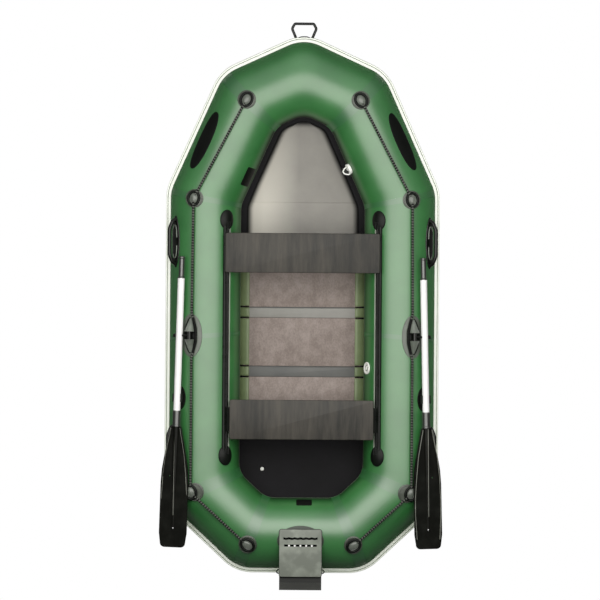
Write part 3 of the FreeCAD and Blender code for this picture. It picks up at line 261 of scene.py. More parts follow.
# in metres: the side tube's axis, how far from it the cones begin, where the board's lower layer with
# painted shade begins
carried = {"axisX": 0.471, "axisZ": 0.170, "conesFrom": 0.1795, "shadedLayerFrom": -1.3385}
for part in frame["record"]["subparts"]:
    item = nodes[part["node"]]
    item.data.materials.clear()
    item.data.materials.append(materials[slotMaterials[part["material_slot"]]])
nodes["bottom_fabric"].data.materials[0] = materials["blackFloorPvc"]
nodes["stern_patch"].data.materials[0] = materials["greyPatchPvc"]
for side in sides:
    nodes["oar_socket_" + side].data.materials[0] = materials["greyGripPolypropylene"]
    lock = nodes["oarlock_base_" + side]
    lock.data.materials[0] = materials["greyLockPvc"]
    # painted highlight: the cones take a paler copy of the oarlock's grey
    lock.data.materials.append(materials["paleHighlightNylon"])
    for face in lock.data.polygons:
        middle = lock.matrix_world @ face.center
        out = math.hypot(abs(middle.x) - carried["axisX"], middle.z - carried["axisZ"])
        if out > carried["conesFrom"]:
            face.material_index = 1
# painted shade: the board's lower inner layer takes a darker copy of its paint
board = nodes["motor_board"]
board.data.materials.append(materials["shadedPaintedPly"])
for face in board.data.polygons:
    if (board.matrix_world @ face.center).y > carried["shadedLayerFrom"]:
        face.material_index = 1


# shapes are points in mm and faces; rings of points are joined row to row, with both ends filled
def gridFaces(rows, columns, closeRows=False, closeColumns=False):
    faces = []
    for row in range(rows if closeRows else rows - 1):
        for column in range(columns if closeColumns else columns - 1):
            a, b = row * columns, ((row + 1) % rows) * columns
            c = (column + 1) % columns
            faces.append((a + column, b + column, b + c, a + c))
    return faces


def skinOver(rings, closed=True, ends=True):
    columns = len(rings[0])
    points = [Vector(point) for row in rings for point in row]
    faces = gridFaces(len(rings), columns, False, closed)
    if ends:
        faces.append(tuple(range(columns)))
        faces.append(tuple((len(rings) - 1) * columns + k for k in reversed(range(columns))))
    return points, faces


def combined(shapes):
    points, faces = [], []
    for shapePoints, shapeFaces in shapes:
        start = len(points)
        points.extend(shapePoints)
        faces += [tuple(start + index for index in face) for face in shapeFaces]
    return points, faces


def flipped(shape):
    points, faces = shape
    return [Vector((-p[0], p[1], p[2])) for p in points], [tuple(reversed(face)) for face in faces]


def addPiece(name, shape, material, body="hull", sharp=None):
    # one piece from a shape or from a list of them
    points, faces = combined(shape) if isinstance(shape, list) else shape
    mesh = bpy.data.meshes.new(name)
    mesh.from_pydata([tuple(p * mm for p in point) for point in points], [], faces)
    mesh.materials.append(materials[material])
    item = bpy.data.objects.new(name, mesh)
    bpy.context.scene.collection.objects.link(item)
    mesh.shade_smooth()
    if sharp:
        mesh.set_sharp_from_angle(angle=math.radians(sharp))
    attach(item, body)
    return item


def bothSides(name, shapes, material, sharp=50, replaced=None):
    # a starboard piece and its mirror image to port
    starboard = combined(shapes)
    made = []
    for side, sign in sides.items():
        item = addPiece(name + side.capitalize(), starboard if sign > 0 else flipped(starboard),
                        material, sharp=sharp)
        if replaced:
            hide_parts(replaced + "_" + side)
        made.append(item)
    return made


def paint(item, name, colours):
    # a colour for each vertex, for the material to read
    marks = item.data.color_attributes.new(name, "FLOAT_COLOR", "POINT")
    for mark, colour in zip(marks.data, colours):
        mark.color = (*colour, 1)


def eased(value):
    value = min(1.0, max(0.0, value))
    return value * value * (3 - 2 * value)


# the tube ring: corners of its centreline in plan, clockwise from the nose
ring = {"corners": [(0, 1114), (259, 995), (471, 520), (471, -884), (237, -1102), (-237, -1102),
                    (-471, -884), (-471, 520), (-259, 995)],
        "radius": 170, "axisRise": 170, "cornerBend": 150, "bendSpread": 0.2, "step": 12,
        "perCorner": 12, "lift": 5, "foldY": 520, "foldHalf": 55}
tube, axisRise = ring["radius"], ring["axisRise"]
sideX, sternY = ring["corners"][2][0], ring["corners"][4][1]
corners = np.array(ring["corners"], float)
runs = np.roll(corners, -1, 0) - corners
runLengths = np.linalg.norm(runs, axis=1)
heads = runs / runLengths[:, None]
outwards = np.stack([-heads[:, 1], heads[:, 0]], 1)


def lifted(points):
    # the bow rises ahead of the fold, round a long bend
    points = np.array(points, float)
    lift, half = math.radians(ring["lift"]), ring["foldHalf"]
    bendRadius = 2 * half / lift
    start = ring["foldY"] - half
    past = points[:, 1] - start
    turn = np.clip(past / bendRadius, 0, lift)
    over = np.maximum(past - 2 * half, 0)
    base = np.minimum(past, 0) + start
    up = points[:, 2] - axisRise
    y = base + bendRadius * np.sin(turn) + over * np.cos(turn) - up * np.sin(turn)
    z = axisRise + bendRadius * (1 - np.cos(turn)) + over * np.sin(turn) + up * np.cos(turn)
    return np.stack([points[:, 0], y, z], 1)


def ringLoop(reach, bend=None):
    # a closed plan line that runs reach mm outside the ring's centreline, with rounded corners
    bend = ring["cornerBend"] + ring["bendSpread"] * reach if bend is None else bend
    arcs = []
    for i in range(len(corners)):
        before, after = outwards[i - 1], outwards[i]
        bisector = (before + after) / (1 + before @ after)
        turn = math.acos(max(-1, min(1, before @ after)))
        centre = corners[i] + bisector * (reach - bend)
        arc = []
        for k in range(ring["perCorner"] + 1):
            angle = -turn * k / ring["perCorner"]
            c, s = math.cos(angle), math.sin(angle)
            arc.append(centre + bend * np.array([before[0] * c - before[1] * s,
                                                 before[0] * s + before[1] * c]))
        arcs.append(arc)
    line = []
    for arc, following, length in zip(arcs, arcs[1:] + arcs[:1], runLengths):
        start, end = arc[-1], following[0]
        pieces = max(2, int(round(length / ring["step"])))
        line += arc + [start + (end - start) * k / pieces for k in range(1, pieces)]
    return np.array(line)


def ringSweep(profile, bends=None):
    # every point of the profile (reach, height) follows the ring
    loops = []
    for index, (reach, rise) in enumerate(profile):
        plan = ringLoop(reach, None if bends is None else bends[index])
        loops.append(lifted(np.column_stack([plan, np.full(len(plan), rise)])))
    return np.concatenate(loops), gridFaces(len(loops), len(loops[0]), True, True)


def bead(reach, rise, wide, high, around):
    # a small oval profile to sweep round the ring
    angles = [2 * math.pi * k / around for k in range(around)]
    return [(reach + wide * math.cos(angle), rise + high * math.sin(angle)) for angle in angles]


# hull skin, painted where it turns under: steep parts are matt, inner ones get painted shade, more so at
# both ends
hull = {"around": 88, "steepFrom": 0.84, "steepOver": 0.14, "innerShadeFrom": 0.80, "innerShadeOver": 0.20,
        "along": [-1000, -800, 400, 800], "innerShadeShare": [1.0, 0.7, 0.7, 1.5], "steepMore": 0.2}
profile = bead(0, axisRise, tube, tube, hull["around"])
points, faces = ringSweep(profile)
columns = len(points) // hull["around"]
hullSkin = addPiece("hullSkin", (points, faces), "greenHullPvc")
marks = []
for index, point in enumerate(points):
    reach = profile[index // columns][0]
    steep = eased((abs(reach) / tube - hull["steepFrom"]) / hull["steepOver"])
    inner = min(1.0, max(0.0, (-reach / tube - hull["innerShadeFrom"]) / hull["innerShadeOver"]))
    share = float(np.interp(point[1], hull["along"], hull["innerShadeShare"]))
    marks.append((steep * (1 if reach > 0 else min(1.0, share + hull["steepMore"])),
                  min(1.0, inner * inner * share), 0))
paint(hullSkin, "turned", marks)
tubeNames = ["tube_%s_%s" % (part, side) for part in ("nose", "bow", "fore", "aft", "quarter")
             for side in sides]
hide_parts("tube_stern", *tubeNames)
print("hull skin made:", len(points), "points")

# rub strake: flanges that hug the tube and two ridges with a groove between
strake = {"top": [(-2.0, 23), (-0.6, 24.4), (1.0, 23.6), (3.0, 22.9), (6.0, 22.6), (9.5, 22.0),
                  (12.0, 20.6), (12.9, 18.5), (13.0, 13.0), (15.2, 13.0), (15.8, 15.6), (18.6, 15.4),
                  (20.8, 14.4), (22.0, 12.0), (21.8, 6.5), (20.0, 2.6), (17.0, 0.0)],
          "back": (-20, -10, 0, 10, 20), "sunk": 0.8, "bendOut": 14, "darkLineHigh": 0.5,
          "darkLines": [(-1.6, 25.6, 1.2), (14.1, 13.4, 0.9)]}
outer = strake["top"] + [(out, -rise) for out, rise in reversed(strake["top"][:-1])]
inner = [(math.sqrt(tube ** 2 - rise ** 2) - tube - strake["sunk"], rise) for rise in strake["back"]]
profile = [(tube + out, axisRise + rise) for out, rise in outer + inner]
bends = [reach + strake["bendOut"] for reach, rise in profile]
rubStrake = addPiece("rubStrake", ringSweep(profile, bends), "offWhiteStrakeRubber",
                     sharp=50)
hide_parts("rub_strake")
# thin dark lines along the strake, where it meets the tube and in its groove
darkLines = []
for out, rise, wide in strake["darkLines"]:
    section = bead(tube + out, axisRise + rise, wide, strake["darkLineHigh"], 6)
    darkLines.append(ringSweep(section, [tube + out + strake["bendOut"]] * 6))
addPiece("strakeDarkLine", darkLines, "darkStrakeLine")
print("strake made")


# ways to build shapes
def turnedShape(place, profile, around):
    # a profile of (radius, height) turned about the place's Z
    rings = []
    for radius, rise in profile:
        radius = max(radius, 0.03)
        rings.append([place @ Vector((radius * math.cos(2 * math.pi * k / around),
                                      radius * math.sin(2 * math.pi * k / around), rise))
                      for k in range(around)])
    return skinOver(rings)


def oblong(width, length, corner, steps=6):
    # outline of a rectangle with rounded corners, anticlockwise
    line = []
    for quarter, (sx, sy) in enumerate(((1, 1), (-1, 1), (-1, -1), (1, -1))):
        for k in range(steps + 1):
            angle = math.pi / 2 * (quarter + k / steps)
            line.append((sx * (width / 2 - corner) + corner * math.cos(angle),
                         sy * (length / 2 - corner) + corner * math.sin(angle)))
    return line


def boardShape(place, width, length, thick, corner, edge):
    # a board on the place's XY plane with rounded corners and eased edges
    soft = edge * 0.3
    rings = []
    for inset, rise in ((edge, 0), (soft, soft), (0, edge), (0, thick - edge), (soft, thick - soft),
                        (edge, thick)):
        outline = oblong(width - 2 * inset, length - 2 * inset, max(corner - inset, 0.4))
        rings.append([place @ Vector((x, y, rise)) for x, y in outline])
    return skinOver(rings)


def roundedLine(points, bends, step=4.0):
    # a polyline with its corners replaced by arcs, as closely spaced points
    points = [Vector(point) for point in points]
    line = [points[0]]
    for before, corner, after, bend in zip(points, points[1:], points[2:], bends):
        came, goes = (corner - before).normalized(), (after - corner).normalized()
        turn = came.angle(goes)
        if turn < 0.01:
            line.append(corner)
            continue
        back = min(bend * math.tan(turn / 2), (corner - before).length * 0.49,
                   (after - corner).length * 0.49)
        start, end = corner - came * back, corner + goes * back
        pieces = max(3, int(turn * bend / step))
        for k in range(pieces + 1):
            share = k / pieces
            line.append(start.lerp(corner, share).lerp(corner.lerp(end, share), share))
    line.append(points[-1])
    dense = [line[0]]
    for point in line[1:]:
        start = dense[-1]
        gap = (point - start).length
        pieces = max(1, int(round(gap / step)))
        if gap > 1e-4:
            dense += [start.lerp(point, k / pieces) for k in range(1, pieces + 1)]
    return dense


def ovalLine(place, across, along, rise, around=60):
    # a closed oval on a place, its last point on its first
    angles = [2 * math.pi * k / around for k in range(around + 1)]
    return [place @ Vector((across * math.cos(a), along * math.sin(a), rise)) for a in angles]


def barShape(line, radius, around):
    # a round bar along a line; a radius may be worked out from the distance gone and the angle
    side = (line[1] - line[0]).normalized().orthogonal().normalized()
    rings, gone = [], 0.0
    for index, point in enumerate(line):
        ahead = (line[min(index + 1, len(line) - 1)] - line[max(index - 1, 0)]).normalized()
        side = (side - ahead * side.dot(ahead)).normalized()
        up = ahead.cross(side)
        if index:
            gone += (point - line[index - 1]).length
        row = []
        for k in range(around):
            angle = 2 * math.pi * k / around
            reach = radius(gone, angle) if callable(radius) else radius
            row.append(point + side * (reach * math.cos(angle)) + up * (reach * math.sin(angle)))
        rings.append(row)
    return skinOver(rings)


def sectionRun(place, section, start, end):
    # a closed section of (across, up) run along the place's Y
    return skinOver([[place @ Vector((u, y, n)) for u, n in section] for y in (start, end)])


# places on the tube, and pads that follow it
pad = {"rows": 7, "sunk": 0.6, "castFrom": 90, "castReach": 0.3}
skinTree = BVHTree.FromPolygons([vertex.co.copy() for vertex in hullSkin.data.vertices],
                                [list(face.vertices) for face in hullSkin.data.polygons])
liftMatrix = (Matrix.Translation((0, ring["foldY"], axisRise))
              @ Matrix.Rotation(math.radians(ring["lift"]), 4, "X")
              @ Matrix.Translation((0, -ring["foldY"], -axisRise)))


def frameOf(origin, ahead, normal):
    # X to the right of ahead, Y ahead, Z outwards, in mm
    normal = Vector(normal).normalized()
    right = Vector(ahead).cross(normal).normalized()
    front = normal.cross(right)
    return Matrix(((right.x, front.x, normal.x, origin[0]), (right.y, front.y, normal.y, origin[1]),
                   (right.z, front.z, normal.z, origin[2]), (0, 0, 0, 1)))


def onTube(x, y, heading=(0, 1, 0)):
    # the place on top of the starboard tube over a plan point
    line = [Vector((cx, cy, 0)) for cx, cy in ring["corners"][:6]]
    spot, best = Vector((x, y, 0)), None
    for start, end in zip(line, line[1:]):
        run = end - start
        foot = start + run * max(0, min(1, (spot - start).dot(run) / run.length_squared))
        if best is None or (spot - foot).length < (spot - best).length:
            best = foot
    side = spot - best
    normal = (side + Vector((0, 0, math.sqrt(tube ** 2 - side.length_squared)))).normalized()
    origin = best + Vector((0, 0, axisRise)) + normal * tube
    place = frameOf(origin, heading, normal)
    return liftMatrix @ place if y > ring["foldY"] else place


def overside(roll, y):
    # the place on the starboard side tube, rolled outboard from its top
    lean = math.radians(roll)
    normal = Vector((math.sin(lean), 0, math.cos(lean)))
    return frameOf(Vector((sideX, y, axisRise)) + normal * tube, (0, 1, 0), normal)


def padShape(place, length, width, thick, power=2.0, around=64, crown=0, rim=2.0):
    # a pad draped on the tube: rings from its middle out, eased at the rim and sunk in the skin
    half = min(length, width) / 2
    normal = (place.to_3x3() @ Vector((0, 0, 1))).normalized()
    levels = [(share * (1 - rim / half), thick + crown * (1 - share * share))
              for share in [0.02] + [k / pad["rows"] for k in range(1, pad["rows"])] + [1.0]]
    levels += [(1 - rim * 0.3 / half, thick - rim * 0.3), (1.0, thick - rim), (1.0, -pad["sunk"])]
    rings = []
    for share, rise in levels:
        row = []
        for k in range(around):
            angle = 2 * math.pi * k / around
            c, s = math.cos(angle), math.sin(angle)
            reach = share * (abs(c) ** power + abs(s) ** power) ** (-1 / power)
            u, v = width / 2 * reach * c, length / 2 * reach * s
            start = place @ Vector((u, v, pad["castFrom"]))
            hit = skinTree.ray_cast(start * mm, -normal, pad["castReach"])[0]
            foot = hit / mm if hit is not None else place @ Vector((u, v, 0))
            row.append(foot + normal * rise)
        rings.append(row)
    return skinOver(rings)


# tapes over the welds: round the tube at each mitred corner and at the chamber seam
tape = {"half": 3, "rise": 0.5, "seamRise": 0.9, "seamFore": -128, "seamAft": -166, "sunk": 0.6,
        "steepFrom": 0.54, "steepOver": 0.34}
hullGrid = np.array([tuple(vertex.co) for vertex in hullSkin.data.vertices]).reshape(
    hull["around"], -1, 3) / mm
hullAxis = hullGrid.mean(0)


def tapeShape(first, last, rise):
    picked = hullGrid[:, first:last + 1]
    away = picked - hullAxis[first:last + 1]
    away /= np.linalg.norm(away, axis=2)[:, :, None]
    outer = picked + away * rise
    inner = picked - away * tape["sunk"]
    rings = [inner[:, 0]] + [outer[:, k] for k in range(last - first + 1)] + [inner[:, -1]]
    return skinOver([[tuple(point) for point in row] for row in rings], True, False)


perRun = [ring["perCorner"] + max(2, int(round(length / ring["step"]))) for length in runLengths]
cornerColumns = [sum(perRun[:i]) + ring["perCorner"] // 2 for i in range(len(corners))]
tapes = [tapeShape(column - tape["half"], column + tape["half"], tape["rise"])
         for column in cornerColumns[1:]]
for sign in (1, -1):
    seam = [k for k, (x, y, z) in enumerate(hullAxis)
            if abs(x * sign - sideX) < 1 and tape["seamAft"] < y < tape["seamFore"]]
    tapes.append(tapeShape(min(seam), max(seam), tape["seamRise"]))
tapes = addPiece("weldTapes", tapes, "greenTapePvc", sharp=40)
paint(tapes, "turned", [(eased((tape["steepFrom"] - abs(vertex.normal.z)) / tape["steepOver"]), 0, 0)
                        for vertex in tapes.data.vertices])

# piping where the bottom is welded on, and the bottom's tape below
piping = [(0.4 - tube, 158, 1.7), (7 - tube, 118, 1.5)]
pipes = [ringSweep(bead(reach, rise, thick, thick, 8)) for reach, rise, thick in piping]
addPiece("bottomPiping", pipes, "greenPipingPvc")
print("tapes made")


# floor: a crowned grey panel in the bow, with painted shade by its distance from the edge and a painted
# sheen towards port
deck = {"bottomTop": 33, "slatTop": 44, "slatHalf": 285, "slatWidth": 234, "slatPitch": 287,
        "slatFront": 228, "slatThick": 9}
panel = {"edge": 30, "bend": 70, "rise": 13, "roll": 34, "aft": 236, "foldLine": 498, "foldDepth": 2.4,
         "columns": 60, "step": 14, "crown": 2.2, "crownHalf": 260, "shadeWidth": 34, "sheenFrom": 20,
         "sheenOver": 170}
inside = ringLoop(-(tube + panel["edge"]), panel["bend"])
inside = inside[inside[:, 0] >= 0]
inside = inside[np.argsort(inside[:, 1])]
ahead = inside[inside[:, 1] > 0]
panelTip = ahead[:, 1].max() - 2
levels = list(np.arange(panel["aft"], panelTip - 60, panel["step"]))
levels += list(np.linspace(panelTip - 58, panelTip, 14))
levels += [panel["foldLine"] + step for step in (-3, -1.2, 0, 1.2, 3)]
rings, marks = [], []
for y in sorted(levels):
    half = max(1.5, float(np.interp(y, ahead[:, 1], ahead[:, 0])))
    row = []
    for k in range(panel["columns"] + 1):
        x = half * math.sin((k / panel["columns"] - 0.5) * math.pi)
        fromEdge = min(half - abs(x), (panelTip - y) * 0.6 + 1)
        roll = max(0.0, 1 - fromEdge / panel["roll"])
        rise = panel["rise"] * math.sqrt(max(0.0, 1 - roll ** 2))
        fold = panel["foldDepth"] if abs(y - panel["foldLine"]) < 0.5 else 0
        rise += panel["crown"] * (1 - (x / panel["crownHalf"]) ** 2) - fold
        row.append((x, y, deck["bottomTop"] - 0.5 + rise))
        marks.append((eased(min(half - abs(x), panelTip - y) / panel["shadeWidth"]),
                      min(1.0, max(0.0, (-x - panel["sheenFrom"]) / panel["sheenOver"])), 0))
    rings.append(lifted(row))
points, faces = skinOver(rings, False, False)
faces = [tuple(reversed(face)) for face in faces]
bowPanel = addPiece("bowFloorPanel", (points, faces), "crownedFloorPvc")
paint(bowPanel, "shade", marks)

# slats, and strips of the floor between them
strip = {"wide": 522, "long": 46, "middle": 29, "down": 7.2, "thick": 6}
slatMiddles = [deck["slatFront"] - deck["slatWidth"] / 2 - deck["slatPitch"] * k for k in range(3)]
for name, middle in zip(("fore", "middle", "aft"), slatMiddles):
    place = Matrix.Translation((0, middle, deck["slatTop"] - deck["slatThick"]))
    board = boardShape(place, 2 * deck["slatHalf"], deck["slatWidth"], deck["slatThick"], 5, 1.6)
    slat = addPiece("floorSlat" + name.capitalize(), board, "pinkFilmSlatPly", sharp=60)
    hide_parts("floor_slat_" + name)
# painted light: the fore strip takes the lit copy of the fabric, the aft strip the shaded copy
for index, material in ((0, "litStripPvc"), (1, "shadedStripPvc")):
    gapFront = slatMiddles[index] - deck["slatWidth"] / 2
    place = Matrix.Translation((0, gapFront - strip["middle"], deck["slatTop"] - strip["down"]))
    board = boardShape(place, strip["wide"], strip["long"], strip["thick"], 3, 1.4)
    addPiece("floorStrip%d" % (index + 1), board, material, sharp=60)

# cushions of the slat pockets with black bars of painted shade in their gaps: sections (out, up), ends
# (along, down)
pocket = {"in": 257, "out": 306, "gap": 7.5, "lead": 3.7, "strip": 53, "sunk": 1.5, "seamRadius": 2.4,
          "seam": [(258, 3.4), (278, 3.0), (296, 0.5)],
          "section": [(-0.5, 0.6), (0, 3.4), (3, 5.2), (9, 5.3), (17, 4.0), (26, 1.0), (46, -4),
                      (49, -10)],
          "end": [(0, 9.0), (1.0, 3.6), (3.2, 1.0), (7, 0)], "endShare": 0.55}
cuts = [deck["slatFront"]]
for middle in slatMiddles[:2]:
    edge = middle - deck["slatWidth"] / 2
    cuts += [edge, edge - pocket["strip"]]
cuts.append(slatMiddles[2] - deck["slatWidth"] / 2)
cushions, seams = [], []
for front, back in zip(cuts, cuts[1:]):
    length = front - back - pocket["gap"]
    if back != cuts[-1]:
        # painted shade: a black bar across each gap between cushions
        seam = [Vector((x, back, deck["slatTop"] + rise)) for x, rise in pocket["seam"]]
        seams.append(barShape(roundedLine(seam, [30]), pocket["seamRadius"], 8))
    rings = []
    farEnd = [(length - along, drop) for along, drop in reversed(pocket["end"])]
    for along, drop in pocket["end"] + farEnd:
        y = front - pocket["lead"] - along
        row = [(pocket["in"] + x, y, max(deck["slatTop"] + rise - drop * pocket["endShare"],
                                         deck["bottomTop"] - 1)) for x, rise in pocket["section"]]
        row += [(x, y, deck["bottomTop"] - pocket["sunk"]) for x in (pocket["out"], pocket["in"])]
        rings.append(row)
    cushions.append(skinOver(rings))
bothSides("slatPocket", cushions, "paleGreenPocketPvc", replaced="slat_pocket")
bothSides("pocketGapShade", seams, "darkSlotShade", sharp=40)

stud = {"x": -189, "y": -794,
        "profile": [(9, 0), (9, 1.4), (7.5, 2.2), (3.5, 2.4), (3.2, 1.6), (0, 1.6)]}
place = Matrix.Translation((stud["x"], stud["y"], deck["bottomTop"] - 0.5))
addPiece("floorStud", turnedShape(place, stud["profile"], 28), "whiteValveAbs",
         sharp=40)
print("floor made")


# seat rails: two rounded lips either side of the slot, on a flange welded to the tube
rail = {"x": 372, "fore": 414, "aft": -727, "capLength": 97, "capWidth": 78, "capThick": 7.0,
        "capCrown": 8.0, "ridgeRadius": 2.6,
        "lipAndHighlight": [(16.0, 0.4), (16.0, 6.4), (15.0, 8.8), (12.6, 10.8), (9.6, 11.8), (6.6, 11.9),
                (4.4, 11.2), (3.1, 10.0), (2.6, 8.8), (2.6, 8.3), (4.2, 7.4), (5.0, 6.0), (4.2, 4.4),
                (2.6, 3.4), (0.6, 2.6), (0.0, 2.4), (0.0, 0.4)],
        "flange": [(-27, 0.1), (-27, 1.3), (-16, 2.2), (-16, 0.1)]}
railPlace = onTube(rail["x"], 0)
left = [(-u, n) for u, n in rail["lipAndHighlight"]]
lipsAndHighlights = [sectionRun(railPlace, section, rail["aft"] + 30, rail["fore"] - 30)
        for section in (rail["lipAndHighlight"][::-1], left)]
bothSides("seatRail", lipsAndHighlights, "blackRailPvc", 55, "seat_rail")
flange = sectionRun(railPlace, rail["flange"], rail["aft"] + 20, rail["fore"] - 20)
caps = []
for y, turn in ((rail["fore"], 1), (rail["aft"], -1)):
    place = onTube(rail["x"] - 5, y)
    caps.append(padShape(place, rail["capLength"], rail["capWidth"], rail["capThick"],
                         crown=rail["capCrown"], rim=4.0))
    for k in (-1, 0, 1):
        ridge = [place @ Vector((k * across, -turn * along, rise))
                 for across, along, rise in ((9.5, 44, 8.5), (9.5, 26, 13.4), (8.0, 8, 15.0))]
        caps.append(barShape(roundedLine(ridge, [30]), rail["ridgeRadius"], 10))
bothSides("railFlange", [flange], "paleFlangePvc", sharp=40)
bothSides("railCaps", caps, "matBlackNylon", replaced="rail_caps")
print("rails made")


# seat boards with eased edges: each one's reach to either side, and its middle along the boat
seats = {"width": 192, "thick": 12, "rise": 332, "corner": 8, "edge": 3.2,
         "boards": {"front": (374, 255), "rear": (348, -552)}}
for name, (reach, middle) in seats["boards"].items():
    place = Matrix.Translation((0, middle, seats["rise"]))
    board = boardShape(place, 2 * reach, seats["width"], seats["thick"], seats["corner"], seats["edge"])
    seat = addPiece("seatBoard" + name.capitalize(), board, "stainedSeatPly",
                    name + "_seat", 60)
    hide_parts("seat_" + name)
print("seats made")


# rope eyes: a moulded disc with a raised rim, a bridge the rope runs through, a ring round it
ropeEye = {"spots": [(276, 1012), (526, 530), (514, -905), (256, -1157)], "shifts": [0, 0, 18, 0],
           "disc": 90, "discThick": 4.2, "rimReach": 40.5, "rimRise": 5.0, "rimRadius": 1.5,
           "loopAcross": 27.5, "loopAlong": 33.5, "loopRise": 8.4, "loopRadius": 6.0,
           "domeOval": (0.84, 1.12),
           "dome": [(24.5, 1.0), (24.5, 9.0), (23.6, 12.6), (21.4, 15.2), (20.6, 14.6), (19.4, 15.0),
                    (15.8, 17.4), (15.0, 16.8), (13.8, 17.4), (8.0, 19.0), (0, 19.4)]}
rope = {"radius": 6.2, "around": 16, "pitch": 26.0, "relief": 0.55, "rise": 12, "bend": 60,
        "fleckFrom": 0.6, "fleckLevel": 2.5, "plainHalf": 80,
        "pastLock": [(-5.5, 110), (-26.75, 31), (-26.75, -31), (-5.5, -110)]}
lock = {"y": -147, "roll": math.degrees(math.asin(64 / tube))}
lockPlace = overside(lock["roll"], lock["y"])
eyePoints = [onTube(x, y) @ Vector((shift, 0, rope["rise"]))
             for (x, y), shift in zip(ropeEye["spots"], ropeEye["shifts"])]
lockPoints = [lockPlace @ Vector((u, v, rope["rise"])) for u, v in rope["pastLock"]]
ropeLine = eyePoints[:2] + lockPoints + eyePoints[2:]
headings = [ropeLine[1] - ropeLine[0], ropeLine[2] - ropeLine[0], ropeLine[-1] - ropeLine[-3],
            ropeLine[-1] - ropeLine[-2]]
discs, domes, eyeLoops = [], [], []
for (x, y), heading, shift in zip(ropeEye["spots"], headings, ropeEye["shifts"]):
    along = tuple(heading.normalized())
    place = onTube(x, y, along)
    discs.append(padShape(place, ropeEye["disc"], ropeEye["disc"], ropeEye["discThick"], around=72,
                          crown=1.0, rim=2.2))
    line = ovalLine(place, ropeEye["rimReach"], ropeEye["rimReach"], ropeEye["rimRise"])
    discs.append(barShape(line, ropeEye["rimRadius"], 8))
    onRope = onTube(x, y) @ Matrix.Translation((shift, 0, 0))
    spot = frameOf(onRope.translation, along, onRope.to_3x3() @ Vector((0, 0, 1)))
    domes.append(turnedShape(spot @ Matrix.Diagonal((*ropeEye["domeOval"], 1, 1)), ropeEye["dome"], 44))
    line = ovalLine(spot, ropeEye["loopAcross"], ropeEye["loopAlong"], ropeEye["loopRise"])
    eyeLoops.append(barShape(line, ropeEye["loopRadius"], 12))
bothSides("ropeEyes", discs, "darkDiscNylon", replaced="rope_eyes")
bothSides("ropeEyeDomes", domes, "greyDomeNylon")
bothSides("ropeEyeLoops", eyeLoops, "matBlackNylon")


# braided lifeline: strands stand up a little, pale tracer flecks on a dark cover
def strandsAt(gone, angle):
    one = math.sin(4 * angle + 2 * math.pi * gone / rope["pitch"])
    two = math.sin(4 * angle - 2 * math.pi * gone / rope["pitch"])
    return one, two


def braidAt(gone, angle):
    one, two = strandsAt(gone, angle)
    return rope["radius"] + rope["relief"] * one * two


ropePath = roundedLine(ropeLine, [rope["bend"]] * (len(ropeLine) - 2), 3.2)
lifelines = bothSides("lifelineBraid", [barShape(ropePath, braidAt, rope["around"])],
                      "braidedBlackRope", None, "lifeline")
flecks, gone = [], 0.0
for row, point in enumerate(ropePath):
    if row:
        gone += (point - ropePath[row - 1]).length
    for k in range(rope["around"]):
        one, two = strandsAt(gone, 2 * math.pi * k / rope["around"])
        plain = abs(point.y - lock["y"]) < rope["plainHalf"]
        light = 0 if plain else max(0.0, one * two - rope["fleckFrom"]) * rope["fleckLevel"]
        flecks.append((light, light, light))
for item in lifelines:
    paint(item, "fleck", flecks)
print("lifelines made")


# oarlock: painted shade round the cones, where they meet the foot: black bars and a black pad under them
coneShade = {"line": [(13, 79, 3.4), (22, 44, 4.2), (27, 22, 5.0), (25, 15, 5.6), (0, 13, 6.0)],
         "radius": 3.0, "length": 176, "width": 66, "thick": 6.6, "outboard": 6}
coneShades = []
for turn in (1, -1):
    for out in (-1, 1):
        spots = [lockPlace @ Vector((u * out, v * turn, n - (u * u) / (2 * tube)))
                 for u, v, n in coneShade["line"]]
        coneShades.append(barShape(roundedLine(spots, [30, 12, 5], 2.5), coneShade["radius"], 10))
coneShades.append(padShape(lockPlace @ Matrix.Translation((coneShade["outboard"], 0, 0)), coneShade["length"],
                       coneShade["width"], coneShade["thick"], 1.5, 72, 1.0, 1.5))
bothSides("oarlockConeShade", coneShades, "matBlackNylon")


# black oval patches on the bow tubes, and two bare label plates
patch = {"length": 300, "width": 84, "thick": 1.4, "roll": 48}
label = {"thick": 0.8, "rim": 0.4, "bow": (396, 688), "inboard": 145, "bowSize": (95, 76), "sternX": 16,
         "sternRoll": 63, "sternSize": (76, 62)}
bowFront, bowBack = [Vector((x, y, 0)) for x, y in ring["corners"][1:3]]
bowHeading = (bowFront - bowBack).normalized()
bowSide = Vector((bowHeading.y, -bowHeading.x, 0))
spot = (bowFront + bowBack) / 2 + bowSide * (tube * math.sin(math.radians(patch["roll"])))
oval = padShape(onTube(spot.x, spot.y, tuple(bowHeading)), patch["length"], patch["width"],
                patch["thick"], 2.3, 96, rim=0.8)
bothSides("bowPatch", [oval], "blackPatchPvc", None, "bow_patch")
spot = Vector((*label["bow"], 0)) - bowSide * label["inboard"]
plaque = padShape(onTube(spot.x, spot.y, tuple(bowHeading)), *label["bowSize"], label["thick"], 14, 96,
                  rim=label["rim"])
addPiece("bowLabelBare", flipped(plaque), "blackPatchPvc")
roll = math.radians(label["sternRoll"])
up, inward = math.cos(roll), math.sin(roll)
sternSpot = Matrix.Translation((label["sternX"], 0, 0)) @ frameOf(
    (0, sternY + tube * inward, axisRise + tube * up), (1, 0, 0), (0, inward, up))
plaque = padShape(sternSpot, *label["sternSize"], label["thick"], 14, 96, rim=label["rim"])
addPiece("sternLabelBare", plaque, "blackPatchPvc")
print("patches made")


